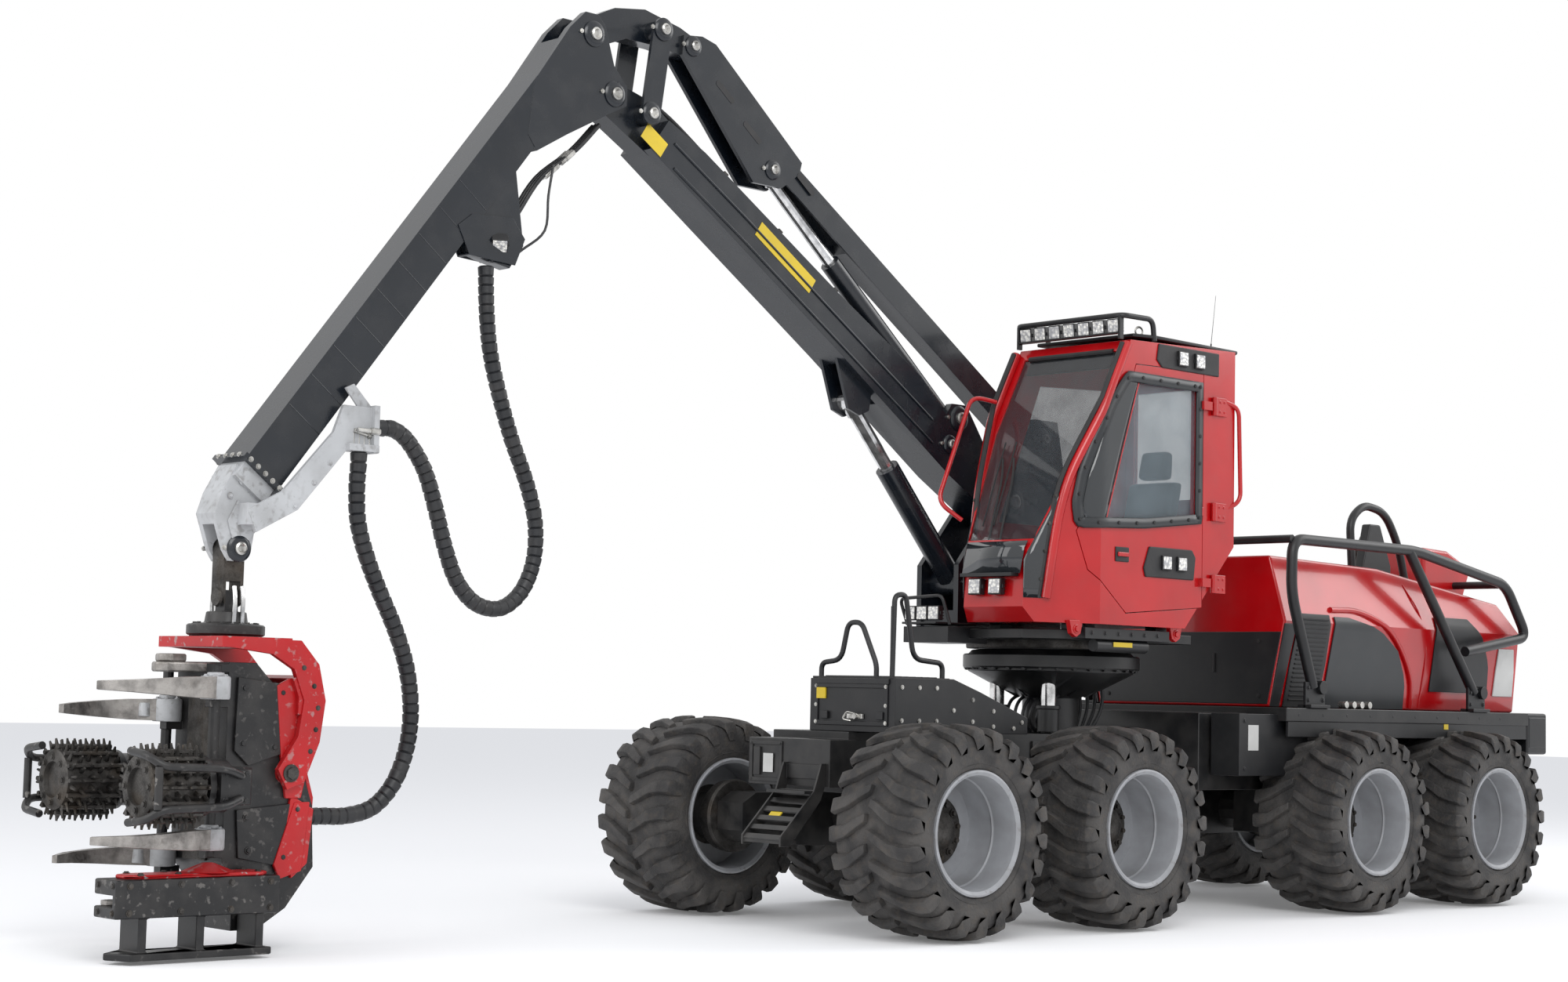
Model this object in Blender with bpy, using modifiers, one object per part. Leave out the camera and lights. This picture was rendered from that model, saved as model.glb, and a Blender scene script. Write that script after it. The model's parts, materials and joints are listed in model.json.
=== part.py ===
"""Eight-wheeled forestry harvester, drawn at real size in metres.

+X points forward, +Y to the machine's left and +Z up. Sizes below are taken with x = 0 at the
front bogie's centre; the whole machine is then moved by ORIGIN_X, so that the part's own origin
lies on the ground under the middle of its length.
"""

from math import atan2, cos, hypot, pi, radians, sin

import bmesh
import bpy
from mathutils import Euler, Matrix, Vector

# ---------------------------------------------------------------- driving dimensions
GAP = 0.0003            # between faces that rest on each other
CLEAR = 0.006           # between faces that move past each other

WHEEL_RADIUS = 0.6685
WHEEL_STEPS = 24
TYRE_HALF_WIDTH = 0.355
RIM_RADIUS = 0.385
DISH_RADIUS = 0.335
DISC_OUTER = -0.05      # the wheel disc, measured outwards from the tyre's middle
DISC_THICKNESS = 0.03
TRACK_HALF = 1.107      # from the centreline to the middle of a tyre
BOGIE_HALF = 0.804
REAR_BOGIE_X = -4.273
HUB_RADIUS = 0.17

FRAME_HALF_WIDTH = 0.35
FRONT_FRAME_TOP = 1.25
FRAME_BOTTOM = 0.86
NOSE_X = 1.12
REAR_HALF_WIDTH = 0.70
DECK_HALF_WIDTH = 1.06
DECK_TOP = 1.47
REAR_FRONT_X = -2.30
BUMPER_REAR = -6.42
BUMPER_FRONT = -6.12
HOOD_FRONT = -3.00
HOOD_WALL = 0.04
RAIL_RADIUS = 0.04
RAIL_Y = 1.02

SLEW_X = -1.50
SLEW_TOP = 1.90
PLATFORM_TOP = 1.96
CAB_FLOOR = 2.00
CAB_WALL = 0.05
CAB_MIDDLE = 0.40
CAB_HALF_WIDTH = 0.50
CAB_REAR = -2.42
CAB_FRONT = -0.42
CAB_ROOF = 4.00
CAB_CORNER_X = -0.95    # where the cab starts to narrow towards its front
CAB_NOSE_HALF = 0.26
GLASS = 0.012

CRANE_Y = -0.50
BOOM_HALF = 0.15
TIP_HALF = 0.08         # half the width of the main boom's narrow tip
STICK_HALF = 0.14
STICK_DEPTH = 0.27
STICK_WALL = 0.014
EXTENSION_OVERLAP = 2.45
PLATE = 0.045           # side plates of pillar and rocker
PIN_RADIUS = 0.045
BORE_RADIUS = 0.049

HEAD_X = 4.90           # the vertical axis that the head hangs on
HEAD_HALF = 0.27
KNIFE_PIN_X = 5.10
KNIFE_PIN_Y = 0.25
ROLLER_X = 5.50
ROLLER_Y = 0.46
ROLLER_Z = 0.92
ROLLER_RADIUS = 0.23
ROLLER_LENGTH = 0.34
SAW_BOX_FRONT = 5.78

HOSE_RADIUS = 0.05

ORIGIN_X = (SAW_BOX_FRONT + BUMPER_REAR) / 2

WHEEL_Z = WHEEL_RADIUS * cos(pi / WHEEL_STEPS)

# Crane pins, as x and z in the crane's plane.
BOOM_ROOT = (-1.40, 2.90)
BOOM_TIP = (2.35, 5.22)
ROCKER_FOOT = (2.07, 5.14)
ROCKER_TOP = (1.99, 5.70)
BAR_TOP = (1.66, 5.67)
BAR_EYE = (0.93, 4.97)
STICK_CYLINDER_FOOT = (-0.87, 3.46)
LIFT_FOOT = (-1.00, 2.30)
LIFT_EYE = (0.08, 3.50)
STICK_START = (2.82, 5.19)
STICK_END = (4.80, 2.62)
LINK_PIN = (HEAD_X, 2.21)
ROLL_PIN_Z = 1.94
TILT_PIN = (4.66, 0.98)

# Each moving body's pivot: parent body and position.
PIVOTS = {
    "front_chassis": (None, (0, 0, 0)),
    "rear_chassis": ("front_chassis", (-2.136, 0, 1.10)),
    "slew_platform": ("front_chassis", (SLEW_X, 0, SLEW_TOP)),
    "cab_door": ("slew_platform", (-2.115, 0.9253, 2.90)),
    "main_boom": ("slew_platform", (BOOM_ROOT[0], CRANE_Y, BOOM_ROOT[1])),
    "lift_barrel": ("slew_platform", (LIFT_FOOT[0], CRANE_Y, LIFT_FOOT[1])),
    "lift_rod": ("lift_barrel", (LIFT_EYE[0], CRANE_Y, LIFT_EYE[1])),
    "outer_boom": ("main_boom", (BOOM_TIP[0], CRANE_Y, BOOM_TIP[1])),
    "rocker": ("main_boom", (ROCKER_FOOT[0], CRANE_Y, ROCKER_FOOT[1])),
    "top_link": ("rocker", (ROCKER_TOP[0], CRANE_Y, ROCKER_TOP[1])),
    "pull_bar": ("top_link", (BAR_TOP[0], CRANE_Y, BAR_TOP[1])),
    "stick_barrel": ("main_boom", (STICK_CYLINDER_FOOT[0], CRANE_Y, STICK_CYLINDER_FOOT[1])),
    "stick_rod": ("stick_barrel", (BAR_EYE[0], CRANE_Y, BAR_EYE[1])),
    "extension_boom": ("outer_boom", (STICK_END[0], CRANE_Y, STICK_END[1])),
    "crane_link": ("extension_boom", (LINK_PIN[0], CRANE_Y, LINK_PIN[1])),
    "rotator": ("crane_link", (HEAD_X, CRANE_Y, ROLL_PIN_Z)),
    "head_bracket": ("rotator", (HEAD_X, CRANE_Y, 1.72)),
    "head_frame": ("head_bracket", (TILT_PIN[0], CRANE_Y, TILT_PIN[1])),
    "saw_bar": ("head_frame", (5.08, CRANE_Y + 0.30, 0.33)),
}
SIDES = {"left": 1, "right": -1}
for side, sign in SIDES.items():
    PIVOTS[f"upper_knife_{side}"] = ("head_frame", (KNIFE_PIN_X, CRANE_Y + sign * KNIFE_PIN_Y, 1.35))
    PIVOTS[f"lower_knife_{side}"] = ("head_frame", (KNIFE_PIN_X, CRANE_Y + sign * KNIFE_PIN_Y, 0.55))
    PIVOTS[f"feed_arm_{side}"] = ("head_frame", (KNIFE_PIN_X, CRANE_Y + sign * KNIFE_PIN_Y, ROLLER_Z))
    PIVOTS[f"feed_roller_{side}"] = (f"feed_arm_{side}", (ROLLER_X, CRANE_Y + sign * ROLLER_Y, ROLLER_Z))
AXLES = {                       # wheel row: chassis body and x
    "front_1": ("front_chassis", BOGIE_HALF),
    "front_2": ("front_chassis", -BOGIE_HALF),
    "rear_1": ("rear_chassis", REAR_BOGIE_X + BOGIE_HALF),
    "rear_2": ("rear_chassis", REAR_BOGIE_X - BOGIE_HALF),
}
for row, (chassis, x) in AXLES.items():
    for side, sign in SIDES.items():
        PIVOTS[f"wheel_{row}_{side}"] = (chassis, (x, sign * TRACK_HALF, WHEEL_Z))

# Finish: base colour, metallic, roughness.
FINISHES = {
    "red_paint": ((0.62, 0.02, 0.015), 0.1, 0.3),
    "black_paint": ((0.02, 0.021, 0.025), 0.2, 0.4),
    "crane_paint": ((0.03, 0.035, 0.045), 0.3, 0.35),
    "tyre_rubber": ((0.045, 0.042, 0.04), 0.0, 0.85),
    "grey_casting": ((0.42, 0.43, 0.44), 0.6, 0.5),
    "worn_steel": ((0.3, 0.29, 0.28), 0.9, 0.45),
    "chrome": ((0.8, 0.8, 0.8), 1.0, 0.1),
    "glass": ((0.1, 0.12, 0.12), 0.0, 0.05),
    "seat_fabric": ((0.03, 0.03, 0.03), 0.0, 0.9),
    "hose_rubber": ((0.015, 0.015, 0.015), 0.0, 0.6),
}

for old in list(bpy.data.objects):
    bpy.data.objects.remove(old, do_unlink=True)
PARTS = bpy.data.collections.new("forestry_harvester")
CUTTERS = bpy.data.collections.new("cutters")
for collection in (PARTS, CUTTERS):
    bpy.context.scene.collection.children.link(collection)


# ---------------------------------------------------------------- shapes
def linked(name, mesh):
    made = bpy.data.objects.new(name, mesh)
    PARTS.objects.link(made)
    return made


def baked(made, matrix):
    """The object's evaluated shape as a closed mesh, with the matrix applied."""
    bpy.context.view_layer.update()
    graph = bpy.context.evaluated_depsgraph_get()
    mesh = bpy.data.meshes.new_from_object(made.evaluated_get(graph))
    name = made.name
    bpy.data.objects.remove(made, do_unlink=True)
    solid = bmesh.new()
    solid.from_mesh(mesh)
    bmesh.ops.remove_doubles(solid, verts=solid.verts, dist=0.00002)
    bmesh.ops.recalc_face_normals(solid, faces=solid.faces)
    solid.to_mesh(mesh)
    solid.free()
    mesh.transform(matrix)
    return linked(name, mesh)


def box(name, low, high):
    mesh = bpy.data.meshes.new(name)
    solid = bmesh.new()
    bmesh.ops.create_cube(solid, size=1)
    for vertex in solid.verts:
        vertex.co = [a + (b - a) * (c + 0.5) for c, a, b in zip(vertex.co, low, high)]
    solid.to_mesh(mesh)
    solid.free()
    return linked(name, mesh)


PRISM_TURNS = {"X": Euler((pi / 2, 0, pi / 2)), "Y": Euler((pi / 2, 0, 0)), "Z": Euler((0, 0, 0))}


def prism(name, outline, axis, low, high):
    """A flat outline pushed from low to high along an axis; its points are the other two coordinates."""
    curve = bpy.data.curves.new(name, "CURVE")
    curve.dimensions = "2D"
    curve.fill_mode = "BOTH"
    curve.extrude = (high - low) / 2
    spline = curve.splines.new("POLY")
    spline.points.add(len(outline) - 1)
    for point, (u, v) in zip(spline.points, outline):
        point.co = (u, v, 0, 1)
    spline.use_cyclic_u = True
    middle = Vector([(low + high) / 2 if letter == axis else 0 for letter in "XYZ"])
    matrix = Matrix.Translation(middle) @ PRISM_TURNS[axis].to_matrix().to_4x4()
    return baked(linked(name, curve), matrix)


def crane_prism(name, outline, half, offset=0.0):
    """A side outline of the crane, half each way from the crane's plane moved by offset."""
    return prism(name, outline, "Y", CRANE_Y + offset - half, CRANE_Y + offset + half)


def tube(name, points, radius, resolution=1):
    curve = bpy.data.curves.new(name, "CURVE")
    curve.dimensions = "3D"
    curve.bevel_depth = radius
    curve.bevel_resolution = resolution
    curve.use_fill_caps = True
    spline = curve.splines.new("POLY")
    spline.points.add(len(points) - 1)
    for point, place in zip(spline.points, points):
        point.co = (*place, 1)
    return baked(linked(name, curve), Matrix.Identity(4))


def rounded(points, radius, steps=3):
    """The path with each inner corner replaced by a short arc of that radius."""
    path = [Vector(points[0])]
    for before, corner, after in zip(points, points[1:], points[2:]):
        corner = Vector(corner)
        back = (Vector(before) - corner)
        ahead = (Vector(after) - corner)
        half_angle = back.angle(ahead) / 2
        reach = min(radius / max(sin(half_angle) / cos(half_angle), 0.01), 0.45 * back.length,
                    0.45 * ahead.length)
        start = corner + back.normalized() * reach
        end = corner + ahead.normalized() * reach
        for step in range(steps + 1):
            t = step / steps
            path.append(start * (1 - t) ** 2 + corner * 2 * t * (1 - t) + end * t * t)
    path.append(Vector(points[-1]))
    return path


def rod(name, start, end, radius, sides=12, end_radius=None):
    start, end = Vector(start), Vector(end)
    mesh = bpy.data.meshes.new(name)
    solid = bmesh.new()
    bmesh.ops.create_cone(
        solid, cap_ends=True, segments=sides, depth=(end - start).length,
        radius1=radius, radius2=radius if end_radius is None else end_radius,
    )
    turn = (end - start).to_track_quat("Z", "Y").to_matrix().to_4x4()
    solid.transform(Matrix.Translation((start + end) / 2) @ turn)
    solid.to_mesh(mesh)
    solid.free()
    return linked(name, mesh)


def turned(name, profile, centre, axis, steps, spin=0.0):
    """A profile of radius and height, turned about an axis through the centre."""
    mesh = bpy.data.meshes.new(name)
    mesh.from_pydata([(r, 0, a) for r, a in profile], [(i, i + 1) for i in range(len(profile) - 1)], [])
    made = linked(name, mesh)
    screw = made.modifiers.new("turn", "SCREW")
    screw.axis = "Z"
    screw.steps = screw.render_steps = steps
    screw.use_merge_vertices = True
    screw.merge_threshold = 0.00005
    turn = Vector(axis).to_track_quat("Z", "Y").to_matrix().to_4x4()
    return baked(made, Matrix.Translation(centre) @ turn @ Matrix.Rotation(spin, 4, "Z"))


def combine(base, operation, others):
    for other in others:
        PARTS.objects.unlink(other)
        CUTTERS.objects.link(other)
        other.hide_render = True
        other.display_type = "WIRE"
        other.parent = EMPTIES["front_chassis"]
        change = base.modifiers.new(other.name, "BOOLEAN")
        change.operation = operation
        change.solver = "EXACT"
        change.object = other
    return base


def join(base, *others):
    return combine(base, "UNION", others)


def cut(base, *others):
    return combine(base, "DIFFERENCE", others)


def common(base, *others):
    return combine(base, "INTERSECT", others)


def at_pin(pin, offset):
    """The point on a crane pin that lies offset to the left of the crane's plane."""
    return (pin[0], CRANE_Y + offset, pin[1])


def cross_pin(pin, half, radius=PIN_RADIUS, sides=12):
    return rod("pin", at_pin(pin, -half), at_pin(pin, half), radius, sides)


def bore(pin, half=0.4, radius=BORE_RADIUS):
    return rod("bore", at_pin(pin, -half), at_pin(pin, half), radius, 12)


def eye(pin, half, radius):
    return rod("eye", at_pin(pin, -half), at_pin(pin, half), radius, 16)


def between(start, end, distance):
    """The point on the line from start to end at that distance from start."""
    length = hypot(end[0] - start[0], end[1] - start[1])
    t = distance / length
    return (start[0] + (end[0] - start[0]) * t, start[1] + (end[1] - start[1]) * t)


# ---------------------------------------------------------------- bodies and finishes
def make_empties():
    empties = {}
    for body, (parent, place) in PIVOTS.items():
        empty = bpy.data.objects.new(f"pivot_{body}", None)
        PARTS.objects.link(empty)
        if parent is None:
            empty.location = (-ORIGIN_X, 0, 0)
        else:
            empty.parent = empties[parent]
            empty.location = Vector(place) - Vector(PIVOTS[parent][1])
        empties[body] = empty
    return empties


def make_finishes():
    finishes = {}
    for name, (colour, metallic, roughness) in FINISHES.items():
        material = bpy.data.materials.new(name)
        material.use_nodes = True
        shader = material.node_tree.nodes["Principled BSDF"]
        shader.inputs["Base Color"].default_value = (*colour, 1)
        shader.inputs["Metallic"].default_value = metallic
        shader.inputs["Roughness"].default_value = roughness
        finishes[name] = material
    return finishes


EMPTIES = make_empties()
MATERIALS = make_finishes()


def place(made, name, finish, body):
    """Name a finished solid, give it its own material and hang it on its body's pivot."""
    made.name = name
    material = MATERIALS[finish].copy()
    material.name = f"{name}_{finish}"
    made.data.materials.clear()
    made.data.materials.append(material)
    made.parent = EMPTIES[body]
    made.location = -Vector(PIVOTS[body][1])
    made.data.shade_smooth()
    made.data.set_sharp_from_angle(angle=radians(30))
    return made


# ---------------------------------------------------------------- wheels and axles
def make_wheels():
    crown = 0.292
    disc_inner = DISC_OUTER - DISC_THICKNESS
    lip = 0.323
    profile = [
        (0, DISC_OUTER), (DISH_RADIUS, DISC_OUTER), (DISH_RADIUS + 0.01, lip), (RIM_RADIUS, lip),
        (0.54, TYRE_HALF_WIDTH), (WHEEL_RADIUS - 0.035, TYRE_HALF_WIDTH - 0.02), (WHEEL_RADIUS, crown),
        (WHEEL_RADIUS, -crown), (WHEEL_RADIUS - 0.035, 0.02 - TYRE_HALF_WIDTH), (0.54, -TYRE_HALF_WIDTH),
        (RIM_RADIUS, -lip), (DISH_RADIUS + 0.01, -lip), (DISH_RADIUS, disc_inner), (0, disc_inner),
    ]
    for row, (_, x) in AXLES.items():
        for side, sign in SIDES.items():
            name = f"wheel_{row}_{side}"
            wheel = turned(name, profile, (x, sign * TRACK_HALF, WHEEL_Z), (0, sign, 0), WHEEL_STEPS,
                           pi / WHEEL_STEPS)
            place(wheel, name, "tyre_rubber", name)


def make_bogie(name, centre, saddle_top, body):
    """A centre axle with a gear case on each side and a hub at each wheel."""
    case_low, case_high = 0.50, 0.745
    hub_end = TRACK_HALF + DISC_OUTER - DISC_THICKNESS - GAP
    axle = box(name, (centre - 0.22, -0.30, 0.50), (centre + 0.22, 0.30, saddle_top))
    more = [rod("casing", (centre, -0.62, WHEEL_Z), (centre, 0.62, WHEEL_Z), 0.15, 12)]
    for sign in (-1, 1):
        low, high = sorted((sign * case_low, sign * case_high))
        side_view = [
            (centre - 0.98, 0.58), (centre - 0.86, 0.50), (centre - 0.30, 0.47), (centre + 0.30, 0.47),
            (centre + 0.86, 0.50), (centre + 0.98, 0.58), (centre + 0.98, 0.76), (centre + 0.86, 0.83),
            (centre - 0.86, 0.83), (centre - 0.98, 0.76),
        ]
        more.append(prism("case", side_view, "Y", low, high))
        for x in (centre - BOGIE_HALF, centre + BOGIE_HALF):
            more.append(rod("hub", (x, sign * 0.70, WHEEL_Z), (x, sign * hub_end, WHEEL_Z), HUB_RADIUS, 12))
    place(join(axle, *more), name, "black_paint", body)


# ---------------------------------------------------------------- front chassis
def make_front_frame():
    frame = box("front_frame", (-1.95, -FRAME_HALF_WIDTH, FRAME_BOTTOM),
                (0.86, FRAME_HALF_WIDTH, FRONT_FRAME_TOP))
    nose = box("nose", (0.84, -0.30, 0.90), (NOSE_X, 0.45, 1.20))
    joint = prism("joint", [(-1.90, -0.16), (-2.10, -0.16), (-2.20, -0.08), (-2.20, 0.08), (-2.10, 0.16),
                            (-1.90, 0.16)],
                  "Z", 0.98, 1.22)
    frame = join(frame, nose, joint)
    frame = cut(frame, rod("pin_bore", (-2.136, 0, 0.9), (-2.136, 0, 1.3), 0.054, 12))
    place(frame, "front_frame", "black_paint", "front_chassis")


def make_front_boxes():
    base = FRONT_FRAME_TOP + GAP
    side_wall = [(0.82, base), (0.82, 1.60), (0.28, 1.60), (0.02, 1.52), (-0.44, 1.36), (-0.44, base)]
    locker = box("front_toolbox", (0.28, -0.05, base), (0.82, 0.715, 1.59))
    locker = join(locker, prism("side", side_wall, "Y", 0.70, 0.72))
    place(locker, "front_toolbox", "black_paint", "front_chassis")


def make_steps():
    """A sloping ladder of channel section under the frame's nose, with two treads."""
    low_y, high_y = 0.06, 0.42
    cheek = [(NOSE_X + GAP, 0.92), (NOSE_X + GAP, 1.05), (1.16, 1.05), (1.22, 0.88), (1.50, 0.60),
             (1.50, 0.54), (1.42, 0.54),
             (1.16, 0.82)]
    left = prism("front_steps", cheek, "Y", high_y - 0.015, high_y)
    right = prism("cheek", cheek, "Y", low_y, low_y + 0.015)
    treads = [box("tread", (x, low_y + 0.005, z), (x + 0.13, high_y - 0.005, z + 0.02))
              for x, z in ((1.17, 0.86), (1.36, 0.555))]
    back = box("back", (NOSE_X + GAP, low_y + 0.005, 0.95), (NOSE_X + 0.012, high_y - 0.005, 1.04))
    place(join(left, right, back, *treads), "front_steps", "black_paint", "front_chassis")


def make_handrails():
    top = 1.59 + GAP
    across = rounded([(0.79, 0.02, top), (0.79, 0.02, 1.69), (0.79, 0.20, 1.71), (0.79, 0.26, 1.95),
                      (0.79, 0.38, 1.95), (0.79, 0.52, 1.68), (0.79, 0.52, top)], 0.06)
    place(tube("front_handrail", across, 0.017), "front_handrail", "black_paint", "front_chassis")
    along = rounded([(0.79, 0.66, top), (0.78, 0.66, 2.12), (0.68, 0.66, 2.13), (0.60, 0.66, 1.72),
                     (0.33, 0.66, 1.70), (0.33, 0.66, top)], 0.06)
    place(tube("side_handrail", along, 0.017), "side_handrail", "black_paint", "front_chassis")


def make_slew_base():
    base = FRONT_FRAME_TOP + GAP
    profile = [(0, 1.83), (0.56, 1.83), (0.59, 1.80), (0.59, 1.68), (0.36, 1.56), (0.20, 1.50), (0.20, base),
               (0, base)]
    column = turned("slew_base", profile, (SLEW_X, 0, 0), (0, 0, 1), 24)
    rams = [rod("ram", (SLEW_X + x, y, base), (SLEW_X + x, y, 1.66), 0.05, 12) for x,
            y in ((0.30, 0.24), (0.30, -0.24))]
    place(join(column, *rams), "slew_base", "black_paint", "front_chassis")


# ---------------------------------------------------------------- rear chassis
def make_rear_frame():
    frame = box("rear_frame", (BUMPER_FRONT, -REAR_HALF_WIDTH, 0.87),
                (REAR_FRONT_X, REAR_HALF_WIDTH, DECK_TOP - 0.05))
    deck = box("deck", (BUMPER_FRONT, -DECK_HALF_WIDTH, DECK_TOP - 0.10), (-2.85, DECK_HALF_WIDTH, DECK_TOP))
    fork = [box("fork", (REAR_FRONT_X - 0.02, -0.16, low), (-2.02, 0.16, high)) for low,
            high in ((0.90, 0.973), (1.2203, 1.30))]
    pin = rod("pin", (-2.136, 0, 0.92), (-2.136, 0, 1.28), 0.05, 12)
    place(join(frame, deck, *fork, pin), "rear_frame", "black_paint", "rear_chassis")
    bumper = box("rear_bumper", (BUMPER_REAR, -1.05, 1.14), (BUMPER_FRONT - GAP, 1.05, DECK_TOP))
    place(bumper, "rear_bumper", "black_paint", "rear_chassis")


def hood_solid(name, inset, bottom):
    """The bonnet's outside, or with an inset its inside: a side view cut to a cross-section."""
    front, rear = HOOD_FRONT - inset, -6.32 + inset
    side_view = [(front, bottom), (front, 2.58 - inset), (-4.37, 2.55 - inset), (-5.98, 2.34 - inset),
                 (-6.20 + inset, 2.12), (rear, bottom)]
    section = [(-0.80 + inset, bottom - 0.1), (0.80 - inset, bottom - 0.1), (0.80 - inset, 1.47),
               (0.93 - inset, 2.10),
               (0.78 - inset, 2.60), (-0.78 + inset, 2.60), (-0.93 + inset, 2.10), (-0.80 + inset, 1.47)]
    return common(prism(name, side_view, "Y", -1.2, 1.2), prism("section", section, "X", -7, -2))


def hood_top(x):
    """Height of the bonnet's sloping top behind its highest stretch."""
    return 2.55 - (2.55 - 2.34) * (-4.37 - x) / (5.98 - 4.37)


def make_hood():
    hood = hood_solid("engine_hood", 0, DECK_TOP + GAP)
    inside = hood_solid("inside", HOOD_WALL, DECK_TOP - 0.1)
    place(cut(hood, inside), "engine_hood", "red_paint", "rear_chassis")
    engine = box("engine_block", (-4.75, -0.40, DECK_TOP + GAP), (-3.35, 0.40, 2.25))
    place(engine, "engine_block", "black_paint", "rear_chassis")
    cover = [(-5.40, hood_top(-5.40) + GAP), (-5.40, 2.78), (-5.75, 2.77), (-6.10, 2.64),
             (-5.96, hood_top(-5.96) + GAP)]
    cover = prism("top_cover", cover, "Y", 0.05, 0.55)
    place(cover, "top_cover", "red_paint", "rear_chassis")
    fin = [(-4.55, hood_top(-4.55) + GAP), (-4.66, 2.92), (-4.80, 2.92), (-4.95, 2.60),
           (-4.95, hood_top(-4.95) + GAP)]
    fin = prism("exhaust_fin", fin, "Y", 0.46, 0.54)
    place(fin, "exhaust_fin", "black_paint", "rear_chassis")


def make_guard_rails():
    for side, sign in SIDES.items():
        name = f"guard_rail_{side}"
        y = sign * RAIL_Y
        hoop = rounded([(-3.22, y, 1.62), (-2.95, y, 2.30), (-2.96, y, 2.69), (-4.55, y, 2.69),
                        (-5.84, y, 2.49),
                        (-6.16, y, 2.08), (-5.25, y, 1.94)], 0.12, 2)
        rail = tube(name, hoop, RAIL_RADIUS)
        post = tube("post", [(-4.46, y, 2.69), (-5.37, y, 1.62)], RAIL_RADIUS)
        feet = [box("foot", (x - 0.12, y - 0.06, DECK_TOP + GAP), (x + 0.12, y + 0.06, 1.66)) for x in (-3.24,
                -5.40)]
        place(join(rail, post, *feet), name, "black_paint", "rear_chassis")


# ---------------------------------------------------------------- slewing platform and cab
def make_platform():
    profile = [(0, PLATFORM_TOP), (0.60, PLATFORM_TOP), (0.60, SLEW_TOP), (0.52, SLEW_TOP - 0.01),
               (0.52, 1.83 + GAP), (0, 1.83 + GAP)]
    table = turned("turntable", profile, (SLEW_X, 0, 0), (0, 0, 1), 24)
    deck = [(-2.15, -0.74), (-0.85, -0.74), (-0.62, -0.50), (-0.62, 0.50), (-0.85, 0.74), (-2.15, 0.74)]
    plates = prism("deck", deck, "Z", SLEW_TOP - 0.005, PLATFORM_TOP)
    tabs = [box("tab", (x - 0.06, y - 0.05, PLATFORM_TOP - 0.02), (x + 0.06, y + 0.05, CAB_FLOOR - GAP))
            for x in (-1.80, -0.90) for y in (0.05, 0.70)]
    place(join(table, plates, *tabs), "turntable", "black_paint", "slew_platform")


def cab_plan(inset):
    corner = CAB_CORNER_X - 0.4 * inset
    nose = CAB_NOSE_HALF - 0.6 * inset
    half = CAB_HALF_WIDTH - inset
    return [(CAB_REAR + inset, CAB_MIDDLE - half), (corner, CAB_MIDDLE - half),
            (CAB_FRONT - inset, CAB_MIDDLE - nose),
            (CAB_FRONT - inset, CAB_MIDDLE + nose), (corner, CAB_MIDDLE + half),
            (CAB_REAR + inset, CAB_MIDDLE + half)]


def cab_side_view(inset):
    return [(CAB_REAR + inset, 2.60 + 0.5 * inset), (CAB_REAR + inset, CAB_ROOF - inset),
            (-1.24 - 0.6 * inset, 3.96 - inset),
            (-0.46 - inset, 2.48), (CAB_FRONT - 0.01 - inset, 2.10),
            (CAB_FRONT - 0.09 - inset, CAB_FLOOR + inset),
            (-1.87 + 0.4 * inset, CAB_FLOOR + inset)]


def cab_solid(name, inset):
    outside = prism(name, cab_side_view(inset), "Y", CAB_MIDDLE - 1, CAB_MIDDLE + 1)
    return common(outside, prism("plan", cab_plan(inset), "Z", 1, 5))


SCREEN_TOP = (-1.20, 3.885)
SCREEN_FOOT = (-0.50, 2.555)


def screen_slab(name, grow, thickness, shrink=0.0):
    """A slab along the sloping windscreen, grow longer at each end, from its outer face inwards."""
    run = Vector((SCREEN_FOOT[0] - SCREEN_TOP[0], 0, SCREEN_FOOT[1] - SCREEN_TOP[1])).normalized()
    inward = Vector((run.z, 0, -run.x))
    top = Vector((SCREEN_TOP[0], 0, SCREEN_TOP[1])) - run * grow
    foot = Vector((SCREEN_FOOT[0], 0, SCREEN_FOOT[1])) + run * grow
    outer, inner = -thickness, thickness
    corners = [top + inward * outer, foot + inward * outer, foot + inward * inner, top + inward * inner]
    slab = prism(name, [(c.x, c.z) for c in corners], "Y", CAB_MIDDLE - 1, CAB_MIDDLE + 1)
    half_top, half_foot = 0.43 - shrink, 0.30 - shrink
    plan = [(-1.5, CAB_MIDDLE - half_top), (-0.92, CAB_MIDDLE - half_top), (-0.52, CAB_MIDDLE - half_foot),
            (-0.3, CAB_MIDDLE - half_foot), (-0.3, CAB_MIDDLE + half_foot), (-0.52, CAB_MIDDLE + half_foot),
            (-0.92, CAB_MIDDLE + half_top), (-1.5, CAB_MIDDLE + half_top)]
    return common(slab, prism("screen_plan", plan, "Z", 2, 4.5))


DOOR_VIEW = [(-2.06, 2.15), (-1.22, 2.08), (-0.86, 2.36), (-0.78, 2.62), (-1.22, 3.60), (-1.30, 3.80),
             (-2.06, 3.82)]
DOOR_WINDOW = [(-1.98, 2.78), (-1.00, 2.68), (-1.30, 3.56), (-1.36, 3.72), (-1.98, 3.74)]
SIDE_WINDOW = [(-2.15, 2.72), (-0.98, 2.72), (-1.40, 3.72), (-2.15, 3.76)]


def shrunk(outline, amount):
    """The outline with each edge moved inwards by that amount."""
    count = len(outline)
    area = sum(a[0] * b[1] - b[0] * a[1] for a, b in zip(outline, outline[1:] + outline[:1]))
    turn = 1 if area > 0 else -1
    moved = []
    for i, point in enumerate(outline):
        before = Vector(outline[i - 1])
        here = Vector(point)
        after = Vector(outline[(i + 1) % count])
        first = (here - before).normalized()
        second = (after - here).normalized()
        normals = [Vector((-edge.y, edge.x)) * turn for edge in (first, second)]
        bisector = (normals[0] + normals[1]).normalized()
        moved.append(tuple(here + bisector * amount / bisector.dot(normals[0])))
    return moved


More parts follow.
